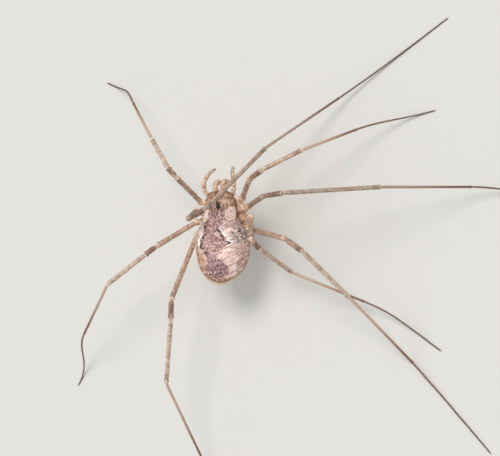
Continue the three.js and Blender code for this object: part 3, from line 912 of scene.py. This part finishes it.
def ledgeAndSheenRows(skin):
    # a pale ledge along the side with a dotted line above it, and the cream underside; on the left flank the
    # ledge and the underside reach higher as a painted rim sheen
    ragged = skin.rim + (skin.fine - 0.5) * 0.3
    # pale ledge, with a painted rim sheen where it reaches higher on the left flank
    ledge = ragged.ease(0.04, -0.02) * skin.along.ease(0.9, -0.6)
    line = ragged.window(0.02, 0.15, 0.03) * skin.along.ease(0.2, -0.8) * skin.mottle.ease(0.42, 0.48)
    under = skin.layers(
        skin.mix(skin.broad.ease(0.42, 0.62), "belly", "bellyShade"),
        ("bellyFleck", skin.darkPatch * 0.4),
        ("bellyFleck", (skin.seams + skin.creases * 0.5).ease(0.1, 1.0) * 0.7),
        ("hipDark", skin.beads.ease(0.24, 0.16) * skin.medium.ease(0.5, 0.56) * 0.5))
    low = skin.tilt.ease(-0.1, -0.34) + ragged.ease(-0.2, -0.34)
    return (
        (skin.mix(skin.darkPatch * 0.6, "ledge", "ledgeShade"), ledge * 0.95),
        ("dots", line * 0.9),
        (under, low.ease(0.0, 1.0)))


def makeBodyFinish(keys):
    skin = bodyPattern(keys)
    onHead = skin.along.ease(1.36, 1.66) * (1 - skin.saddle * skin.away.ease(1.0, 0.8) * 0.8)
    colour = skin.layers(
        flankColour(skin), *borderRows(skin),
        (saddleColour(skin), skin.saddle),
        tailRow(skin),
        (headColour(skin), onHead),
        ("fold", skin.folds * 0.5 * skin.fine.ease(0.38, 0.54)))
    pits = (skin.mottle + (skin.fine - 0.5) * 0.9).ease(0.43, 0.37)
    colour = skin.mix(pits * (skin.saddle * 0.5 + 0.1), colour, "pits", "MULTIPLY")

    # hips, the mound, the colour round the studs, and painted glints: pale highlight dots on small beads
    hip = skin.layers(
        skin.mix(skin.medium.ease(0.42, 0.6), "hip", "hipShade"),
        ("hipDark", skin.net * 0.5),
        ("hipDark", skin.dark * 0.55),
        ("flankPale", skin.palePatch * 0.5))
    brow = skin.layers(
        skin.mix(skin.away.ease(0.03, 0.1), "brow", "browDark"),
        ("brow", skin.palePatch * 0.25))
    # painted highlight: pale glint dots on some beads, which are also a little smoother and raised
    glint = skin.beads.ease(0.2, 0.12) * skin.medium.ease(0.46, 0.54)
    colour = skin.layers(
        colour, *ledgeAndSheenRows(skin),
        (hip, skin.hip),
        (brow, skin.mound * 0.92),
        ("halo", skin.halo * (1 - skin.mound) * 0.7),
        ("glint", glint * 0.55))
    colour = skin.mix(0.15, colour, skin.mix(skin.grain, "speck", "white"), "MULTIPLY")
    rough = 0.46 + (skin.fine - 0.5) * 0.35 - glint * 0.12
    normal = skin.bump(glint * 0.8 + skin.grain * 0.6 + skin.fine * 1.1, 0.045, 0.9)
    return skin.finish(colour, rough, normal, Specular_IOR_Level=0.45)


def makeStudFinish():
    paint = Paint("stud_horn", {"root": (168, 104, 74), "tip": (252, 246, 240), "fleck": (196, 150, 126)})
    fine = paint.noise(paint.ownPlace(), 9.0)
    colour = paint.layers(
        paint.mix(paint.value("rise").ease(0.0, 0.45), "root", "tip"),
        ("fleck", fine * 0.25))
    return paint.finish(colour, 0.38 + fine * 0.15, paint.bump(fine, 0.01), Specular_IOR_Level=0.5)


bodySkin = makeBodySkin()
studShape = addStuds(bodySkin)
hipNodes = [f"leg_{hand}_{number}_coxa" for hand in ("left", "right") for number in (1, 2, 3, 4)]
addPiece("body_skin", bodySkin, makeBodyFinish(bodySkin.values),
         ["cephalothorax", "abdomen", "eye_mound"] + hipNodes)
addPiece("body_studs", studShape, makeStudFinish())
print("body skin has", len(bodySkin.points), "points")


# The eyes: a clear dark lens on either side of the mound

def makeEyeFinish():
    paint = Paint("eye_lens", {"dark": (22, 13, 10), "depth": (48, 27, 18)})
    depth = paint.noise(paint.ownPlace(), 3.0).ease(0.35, 0.7)
    colour = paint.mix(depth, "dark", "depth")
    return paint.finish(colour, 0.1 + depth * 0.05, Coat_Weight=0.6, Coat_Roughness=0.05)


eyeFinish = makeEyeFinish()
for side, hand in bothSides:
    centre = eyePlaces[side] + np.array(eyeMound["lensOut"]) * (side, 1, 1)
    addPiece(f"lens_{hand}", ball(centre, [eyeMound["eyeRadius"]] * 3, 40), eyeFinish, [f"eye_{hand}"])
print("eyes done")


# Legs: each is one skin from the trochanter to the claw

legs = {
    "lengths": {
        "first": (4.3, 1.4, 3.9, 5.2, 7.0),
        "second": (7.4, 1.8, 8.3, 7.9, 12.0),
        "third": (4.4, 1.4, 5.05, 7.0, 8.0),
        "fourth": (6.6, 1.85, 6.1, 8.6, 10.5),
    },
    # bearing and rise of femur, patella, tibia and metatarsus, then the bearing of the foot on the floor
    "stance": (
        ("left_1", "first", -1, ((100, 58), (137, -19), (128, -23), (128, -26)), 152),
        ("left_2", "second", -1, ((-16, 68), (38, -53), (53, -40), (34, -28)), 30),
        ("left_3", "third", -1, ((-145, 42), (-151, -2), (-151, -5), (-135, -23)), -126),
        ("left_4", "fourth", -1, ((-104, 30), (-104, -14), (-105, -10), (-82, -27)), -74),
        ("right_1", "first", 1, ((32, 50), (30, -6), (26, -30), (20, -36)), 10),
        ("right_2", "second", 1, ((8, 55), (4, 0), (-1, -33), (-5, -35)), -12),
        ("right_3", "third", 1, ((-51, 55), (-76, -53), (-68, -60), (-26, -10)), -38),
        ("right_4", "fourth", 1, ((-11, 41), (-42, -14), (-60, -36), (-60, -33)), -52),
    ),
    "names": ("femur", "patella", "tibia", "metatarsus", "tarsus"),
    # radius at the start and end of each segment, narrowing at its root, swelling before its far joint
    "start": (0.222, 0.222, 0.2, 0.132, 0.082),
    "end": (0.222, 0.232, 0.19, 0.1, 0.05),
    "root": (0.66, 0.7, 0.76, 0.9, 0.92),
    "flare": (0.034, 0.03, 0.022, 0.022, 0.0),
    "angular": (0.05, 0.05, 0.045, 0.0, 0.0),
    "slimmer": 0.93,             # the second legs' thickness beside the others', and how much darker they are
    "darker": 0.14,
    "sides": 20,
    "spacing": 0.085,
    "footSpacing": 0.05,
    "corner": 0.34,
    "solidFoot": 0.24,           # radius of the solid foot at its root
    "footPress": 0.03,
    "falseJoint": 1.25,
    "footRing": 0.23,
    # segment, distance between spines along an edge, and their height
    "spineRows": ((0, 0.34, 0.11), (1, 0.26, 0.11), (2, 0.36, 0.085)),
    "crownHeight": 0.12,
    # segment, and how many hairs stand on each of its rings
    "hairRows": ((2, 1), (3, 3), (4, 3)),
    "claw": (0.22, 0.032),
}


def legCorners(pair, side, turns):
    corners = [hipPlace(pair, side)]
    for (bearing, rise), length in zip(turns, legs["lengths"][pair]):
        corners.append(corners[-1] + heading(bearing, rise) * length)
    return corners


def footLine(pair, start, turn, toe):
    # the foot's underside comes down in line with the metatarsus until it lies on the floor
    length = legs["lengths"][pair][4]
    bearing, rise = turn
    sole = start - np.array([0, 0, legs["solidFoot"]])
    reach = sqrt(length ** 2 - sole[2] ** 2) * 0.96
    lead = min(length * 0.34, 0.8 * sole[2] / sin(radians(-rise)))
    foot = np.array([start[0], start[1], -legs["footPress"]]) + heading(toe, 0) * reach
    handles = (sole, sole + heading(bearing, rise) * lead, foot - heading(toe, 0) * length * 0.36, foot)
    share = np.linspace(0, 1, 600)[:, None]
    weights = ((1 - share) ** 3, 3 * share * (1 - share) ** 2, 3 * share ** 2 * (1 - share), share ** 3)
    under = sum(weight * handle for weight, handle in zip(weights, handles))
    run = np.concatenate([[0], np.cumsum(np.linalg.norm(np.diff(under, axis=0), axis=1))])
    even = np.linspace(0, run[-1], int(run[-1] / legs["footSpacing"]) + 1)
    under = np.stack([np.interp(even, run, under[:, axis]) for axis in range(3)], axis=1)
    return under, even / run[-1], run[-1]


def segmentRadius(index, done, left):
    share = done / np.maximum(done + left, 1e-6)
    radius = blend(legs["start"][index], legs["end"][index], share)
    radius = radius * blend(legs["root"][index], 1.0, smoothStep(done, 0, 0.4))
    radius = radius + legs["flare"][index] * ridge(left, 0.17, 0.13)
    radius = radius * blend(0.7, 1.0, smoothStep(left, 0, 0.09))
    if index == 3:                                             # false joints, as fine grooves
        beat = (left - 0.5) / legs["falseJoint"]
        radius = radius * (1 - 0.16 * ridge((beat - np.round(beat)) * legs["falseJoint"], 0, 0.05))
    return radius


def makeLeg(pair, side, turns, toe):
    size = legs["slimmer"] if pair == "second" else 1.0
    corners = legCorners(pair, side, turns)
    upper, stations = roundedPath(corners, legs["spacing"], legs["corner"])
    under, share, length = footLine(pair, corners[4], turns[3], toe)
    footRadius = blend(legs["start"][4], legs["end"][4], share) * size
    beat = share * length / legs["footRing"]
    saw = beat - np.floor(beat)
    footRadius = footRadius * (0.9 + 0.16 * saw ** 1.5)        # rings, each widest at its far end
    footRadius[-3:] *= (0.85, 0.6, 0.25)
    gap = legs["solidFoot"] - legs["start"][4] * size
    foot = under.copy()
    foot[:, 2] = np.maximum(under[:, 2], 0) + footRadius + gap * (1 - smoothStep(share, 0.0, 0.45))
    onFoot = np.stack([np.full(len(foot), 4.0), share * length, (1 - share) * length], axis=1)
    index, done, left = np.vstack([stations[:-1], onFoot]).T
    radii = np.empty(len(index))
    for k in range(4):
        here = index == k
        radii[here] = segmentRadius(k, done[here], left[here]) * size
    radii[index == 4] = footRadius * blend(legs["root"][4], 1, smoothStep(share * length, 0, 0.2))
    radii[0] *= 0.5
    sides = legs["sides"]
    angular = np.array(legs["angular"])[index.astype(int)] * smoothStep(np.minimum(done, left), 0.05, 0.35)
    section = 1 + angular[:, None] * np.cos(5 * np.arange(sides) * 2 * pi / sides)[None]
    shape = sweep(np.vstack([upper[:-1], foot]), radii, sides, (0, 0, 1), section,
                  joint=index + done / (done + left), done=done, left=left)
    shape.index, shape.done, shape.left = index, done, left
    return shape


def bristleSpot(shape, ring, side, sunk):
    # foot of a bristle on a tube, the ways out and along there, and its place in the bake map
    spoke = shape.spokes[ring, side]
    root = (ring / len(shape.path), side / shape.rings.shape[1])
    return shape.rings[ring, side] - spoke * sunk, spoke, shape.along[ring], root


def legSpines(leg):
    # rows of small spines along the edges of three segments, and a crown round the far end of two of them
    sides, rows = legs["sides"], []
    for segment, pitch, height in legs["spineRows"]:
        rings = np.where((leg.index == segment) & (leg.done > 0.35) & (leg.left > 0.12))[0]
        step = max(int(round(pitch / legs["spacing"])), 1)
        for row in range(5):
            for ring in rings[row % step::step]:
                ring = min(ring + int(rng.integers(0, 2)), rings[-1])
                side = int(row * sides / 5 + rng.integers(-1, 2)) % sides
                base, spoke, along, root = bristleSpot(leg, ring, side, 0.01)
                rows.append((base, spoke + along * 0.85, height * rng.uniform(0.75, 1.25), root))
    for segment in (0, 1):
        ring = np.where((leg.index == segment) & (leg.left > 0.1))[0][-1]
        for side in range(0, sides, 4):
            base, spoke, along, root = bristleSpot(leg, ring, side, 0.01)
            rows.append((base, spoke * 0.8 + along, legs["crownHeight"], root))
    bases, directions, heights, roots = (np.array(part) for part in zip(*rows))
    return spikes(bases, directions, heights, heights * 0.24, 5, roots)


def legHairs(leg):
    # short fine hairs, densest on the foot, and none that would pass through the floor
    rows = []
    for segment, each in legs["hairRows"]:
        for ring in np.where((leg.index == segment) & (leg.done > 0.1) & (leg.left > 0.05))[0]:
            for _ in range(each):
                base, spoke, along, root = bristleSpot(leg, ring, int(rng.integers(0, legs["sides"])), 0.004)
                lean = spoke + along * rng.uniform(0.9, 1.5)
                height = rng.uniform(0.09, 0.16)
                if base[2] + unit(lean)[2] * height >= 0.01:
                    rows.append((base, lean, height, root))
    bases, directions, heights, roots = (np.array(part) for part in zip(*rows))
    return spikes(bases, directions, heights, 0.0065, 3, roots)


def makeClaw(tip, direction, length, thickness, onFloor=True):
    # a single hooked claw that bends down to its point
    share = np.linspace(0, 1, 12)
    path = tip + direction * (share * length)[:, None]
    path[:, 2] -= share ** 2 * (tip[2] - 0.012 if onFloor else length * 0.6)
    return sweep(path, thickness * (1 - share) ** 0.8 + 0.004, 10)


legTones = {
    "femur": (208, 178, 154), "femurShade": (170, 136, 112), "patella": (188, 152, 128),
    "patellaShade": (134, 100, 80), "tibia": (220, 196, 174), "tibiaShade": (190, 161, 138),
    "metatarsus": (204, 174, 148), "metatarsusEnd": (134, 98, 76), "tarsus": (136, 102, 82),
    "tarsusEnd": (100, 74, 60), "line": (128, 92, 74), "before": (112, 78, 64), "after": (120, 86, 72),
    "ring": (244, 220, 200), "root": (230, 198, 170), "farEnd": (66, 46, 38), "fleck": (106, 76, 62),
}


def makeLegFinish(name, bright):
    leg = Paint(name, legTones, bright)
    joint, done, left, keel = (leg.value(key) for key in ("joint", "done", "left", "keel"))
    place = leg.ownPlace()
    medium, fine = leg.noise(place, 2.2, 3.0, 0.6), leg.noise(place, 8.0, 3.0, 0.6)
    grain = leg.noise(place, 22.0)
    patches = medium.ease(0.4, 0.6)
    colour = leg.mix(patches, "femur", "femurShade")
    segments = (
        (1, leg.mix(patches, "patella", "patellaShade")),
        (2, leg.mix(patches, "tibia", "tibiaShade")),
        (3, leg.mix(joint.ease(3.2, 3.95), "metatarsus", "metatarsusEnd")),
        (4, leg.mix(joint.ease(4.0, 4.9), "tarsus", "tarsusEnd")))
    for start, segment in segments:
        colour = leg.mix(joint.ease(start - 0.006, start + 0.006), colour, segment)

    # brown lines between the edges, bands before and after the joints, pale rings at the ends and pale roots
    lines = keel.ease(0.1, -0.7) * joint.ease(3.6, 2.9)
    upper = joint.ease(3.02, 2.98)
    after = done.window(0.3, 0.8, 0.15) * joint.window(1.0, 3.0, 0.02)
    colour = leg.layers(
        colour,
        ("line", lines * fine.ease(0.38, 0.56) * 0.5),
        ("before", left.window(0.3, 0.9, 0.15) * upper * medium.ease(0.34, 0.55) * 0.5),
        ("after", after * medium.ease(0.36, 0.56) * 0.4),
        ("root", done.ease(1.3, 0.3) * joint.ease(1.0, 0.9) * medium.ease(0.64, 0.46) * 0.6),
        ("ring", left.ease(0.21, 0.14) * left.ease(0.0, 0.03) * joint.ease(3.0, 2.97) * 0.9),
        ("root", done.ease(0.14, 0.05) * joint.ease(3.4, 3.2) * 0.7),
        ("farEnd", left.ease(0.14, 0.08) * joint.window(3.1, 4.0, 0.003) * 0.6),
        ("fleck", fine.ease(0.56, 0.66) * 0.35),
        ("ring", fine.ease(0.44, 0.36) * 0.3 * upper))
    speck = leg.mix(grain, tone(170, 170, 170), tone(255, 255, 255))
    colour = leg.mix(0.25, colour, speck, "MULTIPLY")
    normal = leg.bump(grain * 0.5 + fine, 0.02, 0.7)
    return leg.finish(colour, 0.42 + fine * 0.2, normal, Specular_IOR_Level=0.45)


def makeHairFinish():
    paint = Paint("dark_bristle", {"root": (82, 58, 46), "tip": (132, 104, 86)})
    shade = paint.value("rise").ease(0.1, 0.9)
    return paint.finish(paint.mix(shade, "root", "tip"), 0.45 + shade * 0.1)


def makeSpineFinish():
    paint = Paint("leg_spine", {"root": (110, 78, 62), "tip": (220, 196, 174), "fleck": (90, 62, 50)})
    fine = paint.noise(paint.ownPlace(), 9.0)
    colour = paint.layers(paint.mix(paint.value("rise").ease(0.3, 0.9), "root", "tip"), ("fleck", fine * 0.3))
    return paint.finish(colour, 0.4 + fine * 0.15)


def makeClawFinish():
    paint = Paint("claw_horn", {"brown": (52, 32, 24), "black": (30, 19, 15)})
    fine = paint.noise(paint.ownPlace(), 12.0)
    return paint.finish(paint.mix(fine, "brown", "black"), 0.25 + fine * 0.1)


legFinish = makeLegFinish("leg_cuticle", 1)
secondLegFinish = makeLegFinish("second_leg_cuticle", 1 - legs["darker"])
hairFinish, spineFinish, clawFinish = makeHairFinish(), makeSpineFinish(), makeClawFinish()
for name, pair, side, turns, toe in legs["stance"]:
    leg = makeLeg(pair, side, turns, toe)
    finish = secondLegFinish if pair == "second" else legFinish
    addPiece(f"leg_{name}_skin", leg, finish, [f"leg_{name}_{part}" for part in legs["names"]])
    addPiece(f"leg_{name}_spines", legSpines(leg), spineFinish)
    addPiece(f"leg_{name}_hairs", legHairs(leg), hairFinish)
    addPiece(f"claw_{name}", makeClaw(leg.path[-3], heading(toe, 0), *legs["claw"]), clawFinish)
    print("leg", name, "done")


# Mouthparts

jaws = {
    "root": (0.34, 3.75, 0.1),       # out, y and height above the hip level
    "elbow": (0.38, 4.72, 0.34),
    "wrist": (0.37, 5.02, -0.62),
    "arm": (0.2, 0.265, 0.24),
    "hand": (0.2, 0.265, 0.2),
    "finger": 0.075,
    "fingerEnd": 0.03,
    "voxel": 0.028,
    "smoothing": 3,
    "hairs": 70,
}
palps = {
    "corners": ((1.0, 3.45, -0.1), (1.5, 4.4, 0.35), (1.45, 5.05, 0.3), (1.2, 5.75, -0.15),
                (0.88, 6.25, -1.15)),
    "start": (0.17, 0.185, 0.165, 0.13),
    "end": (0.19, 0.2, 0.17, 0.085),
    "spacing": 0.045,
    "corner": 0.2,
    "sides": 24,
    "hairs": 420,
    "hairLength": 0.16,
    "claw": (0.13, 0.03),
}
mouthTones = {
    "gold": (226, 196, 166), "goldShade": (190, 150, 120), "net": (134, 94, 72), "fleck": (116, 80, 62),
    "finger": (44, 26, 20),
}


def mouthPlace(out, y, height, side):
    return np.array([side * out, y, trunk["hipLevel"] + height])


def taperedTube(places, radii, sides=18, steps=30):
    # a smooth tube through three or more places
    places = np.array(places)
    share = np.linspace(0, len(places) - 1, steps)
    knots = np.arange(len(places))
    smooth = np.stack([np.interp(share, knots, places[:, axis]) for axis in range(3)], axis=1)
    for _ in range(3):
        smooth[1:-1] = (smooth[:-2] + 2 * smooth[1:-1] + smooth[2:]) / 4
    width = np.interp(share, np.arange(len(radii)), radii)
    width[[0, -1]] *= 0.4
    width[[1, -2]] *= 0.8
    return sweep(smooth, width, sides, (0.1, 0.3, 1))


def makeJaw(side):
    # the arm, the hand that hangs from it, and two fingers whose points darken
    root, elbow, wrist = (mouthPlace(*jaws[key], side) for key in ("root", "elbow", "wrist"))
    bend, palm = elbow + np.array([0, 0.02, 0.02]), (elbow + wrist) / 2 + np.array([0, 0.07, 0])
    shapes = [
        taperedTube([root, (root + elbow) / 2 + np.array([0, 0, 0.08]), elbow], jaws["arm"]),
        taperedTube([bend, palm, wrist], jaws["hand"]),
    ]
    tips, fingerRadii = [], (jaws["finger"] * 1.15, jaws["finger"] * 0.9, jaws["fingerEnd"])
    for finger in (-1, 1):
        knuckle = wrist + np.array([side * finger * 0.1, finger * 0.02, 0.05])
        bow = knuckle + np.array([side * finger * 0.05, 0.05, -0.24])
        tips.append(wrist + np.array([side * finger * 0.02, 0.1, -0.48]))
        shapes.append(taperedTube([knuckle, bow, tips[-1]], fingerRadii, 12, 20))
    points, quads, _ = voxelSkin(shapes, jaws["voxel"], jaws["smoothing"])
    near = np.minimum(*(np.linalg.norm(points - tip, axis=1) for tip in tips))
    normals = normalsOf(points, quads)
    elbowGap = np.linalg.norm(points - (elbow + np.array([0, -0.14, -0.06])), axis=1)
    lift = 0.008 * softNoise(points, 7, 21) - 0.03 * ridge(elbowGap, 0.3, 0.04)
    points = points + normals * lift[:, None]
    return Shape(points, quads.tolist(), dark=smoothStep(-near, -0.34, -0.2)), normals


def jawHairs(jaw, normals):
    count = jaws["hairs"]
    chosen = rng.choice(np.where(jaw.values["dark"] < 0.1)[0], count, replace=False)
    out = normals[chosen]
    return spikes(jaw.points[chosen] - out * 0.005, out + np.array([0, 0.5, -0.3]),
                  rng.uniform(0.08, 0.15, count), 0.008, 3, rng.uniform(0.1, 0.9, (count, 2)))


def makePalp(side):
    corners = [mouthPlace(*corner, side) for corner in palps["corners"]]
    path, stations = roundedPath(corners, palps["spacing"], palps["corner"])
    index, done, left = stations.T
    radii = np.empty(len(path))
    for k in range(4):
        here = index == k
        share = done[here] / (done[here] + left[here])
        width = blend(palps["start"][k], palps["end"][k], share)
        width = width * blend(0.68, 1, smoothStep(done[here], 0, 0.22))
        if k < 3:
            width = width * blend(0.74, 1, smoothStep(left[here], 0, 0.08))
        else:
            width = width * np.sqrt(np.clip(left[here] / 0.12, 0.02, 1))
        radii[here] = width
    radii[0] *= 0.5
    shape = sweep(path, radii, palps["sides"], dark=0.0)
    shape.index = index
    return shape


def palpHairs(palp):
    # more of them towards the palp's far end
    rings = rng.integers(6, len(palp.path) - 4, palps["hairs"])
    columns = rng.integers(0, palps["sides"], palps["hairs"])
    use = np.array([0.35 + 0.22 * palp.index[ring] > rng.random() for ring in rings])
    rings, columns = rings[use], columns[use]
    spokes = palp.spokes[rings, columns]
    lean = spokes + palp.along[rings] * rng.uniform(0.6, 1.2, len(rings))[:, None]
    heights = rng.uniform(0.5, 1, len(rings)) * palps["hairLength"]
    roots = np.stack([rings / len(palp.path), columns / palps["sides"]], axis=1)
    return spikes(palp.rings[rings, columns] - spokes * 0.005, lean, heights, 0.008, 3, roots)


def makeMouthFinish():
    # gold brown, netted and flecked, with black fingertips
    paint = Paint("mouth_cuticle", mouthTones)
    place = paint.ownPlace()
    medium, fine = paint.noise(place, 3.0, 3.0, 0.6), paint.noise(place, 9.0, 3.0, 0.6)
    netting = paint.netting(place, 4.8, 0.02, 0.12) * medium.ease(0.36, 0.6)
    colour = paint.layers(
        paint.mix(medium.ease(0.4, 0.62), "gold", "goldShade"),
        ("net", netting * 0.55),
        ("fleck", fine.ease(0.58, 0.7) * 0.45),
        ("finger", paint.value("dark")))
    return paint.finish(colour, 0.4 + fine * 0.2, paint.bump(fine, 0.015, 0.7), Specular_IOR_Level=0.45)


mouthFinish = makeMouthFinish()
for side, hand in bothSides:
    jaw, jawNormals = makeJaw(side)
    addPiece(f"jaw_{hand}_skin", jaw, mouthFinish, [f"jaw_{hand}"])
    addPiece(f"jaw_{hand}_hairs", jawHairs(jaw, jawNormals), hairFinish)
    palp = makePalp(side)
    addPiece(f"palp_{hand}_skin", palp, mouthFinish, [f"palp_{hand}"])
    addPiece(f"palp_{hand}_hairs", palpHairs(palp), hairFinish)
    claw = makeClaw(palp.path[-3], unit(palp.path[-1] - palp.path[-6]), *palps["claw"], onFloor=False)
    addPiece(f"palp_{hand}_claw", claw, clawFinish)
print("mouthparts done")


# Studio

studio = {
    "floorHalf": 2.5,
    "floorTone": (209, 207, 202),
    "worldTone": (238, 240, 244),
    "worldStrength": 0.72,
    # where each soft light comes from, how wide it looks in degrees, strength, colour
    "lights": (
        ("key", (0.1, 0.5, 1.0), 24, 1.9, (1.0, 0.975, 0.94)),
        ("fill", (-0.8, -0.3, 0.8), 60, 0.5, (0.94, 0.97, 1.0)),
    ),
    "view": {"tilt": 26, "roll": -4.5, "height": 5.2, "distance": 130, "mmPerPixel": 0.0885,
             "centre": (222.5, 238), "frame": (500, 456), "sensor": 36},
}


def addFloor():
    half = studio["floorHalf"]
    mesh = bpy.data.meshes.new("studio_floor")
    corners = [(-half, -half, 0), (half, -half, 0), (half, half, 0), (-half, half, 0)]
    mesh.from_pydata(corners, [], [(0, 1, 2, 3)])
    pale = studio["floorTone"]
    paint = Paint("floor_card", {"pale": pale, "darker": [part - 4 for part in pale]})
    fleck = paint.noise(paint.ownPlace(), 0.6, 4.0, 0.6)
    colour = paint.mix(fleck, "pale", "darker")
    mesh.materials.append(paint.finish(colour, 0.85 + fleck * 0.05, paint.bump(fleck, 0.01, 0.3)))
    floor = linked("studio_floor", mesh)


def addLights():
    for name, source, width, strength, colour in studio["lights"]:
        lamp = bpy.data.lights.new(name, "SUN")
        lamp.angle = radians(width)
        lamp.energy = strength
        lamp.color = colour
        holder = linked(name, lamp)
        holder.location = Vector(source) * 0.3
        holder.rotation_euler = Vector(source).to_track_quat("Z", "Y").to_euler()
    world = bpy.data.worlds.new("studio_light")
    world.use_nodes = True
    background = world.node_tree.nodes["Background"]
    background.inputs["Color"].default_value = tone(*studio["worldTone"])
    background.inputs["Strength"].default_value = studio["worldStrength"]
    bpy.context.scene.world = world
    bpy.context.scene.view_settings.view_transform = "Standard"


def addCamera():
    view = studio["view"]
    tilt, roll = radians(view["tilt"]), radians(view["roll"])
    back = Vector((sin(tilt), 0, cos(tilt)))
    level, upright = Vector((cos(tilt), 0, -sin(tilt))), Vector((0, 1, 0))
    right = level * cos(roll) + upright * sin(roll)
    up = upright * cos(roll) - level * sin(roll)
    target = (Vector(bodyOrigin) + Vector((0, 0, view["height"]))) * mm
    lens = bpy.data.cameras.new("photo_camera")
    wide, high = view["frame"]
    lens.sensor_width = view["sensor"]
    lens.lens = view["distance"] / (view["mmPerPixel"] * wide) * view["sensor"]
    lens.shift_x = (wide / 2 - view["centre"][0]) / wide
    lens.shift_y = (view["centre"][1] - high / 2) / wide
    lens.clip_start, lens.clip_end = 0.005, 20
    camera = linked("photo_camera", lens)
    place = Matrix((right, up, back)).transposed().to_4x4()
    place.translation = target + back * view["distance"] * mm
    camera.matrix_world = place
    bpy.context.scene.camera = camera


addFloor()
addLights()
addCamera()
print("studio done")
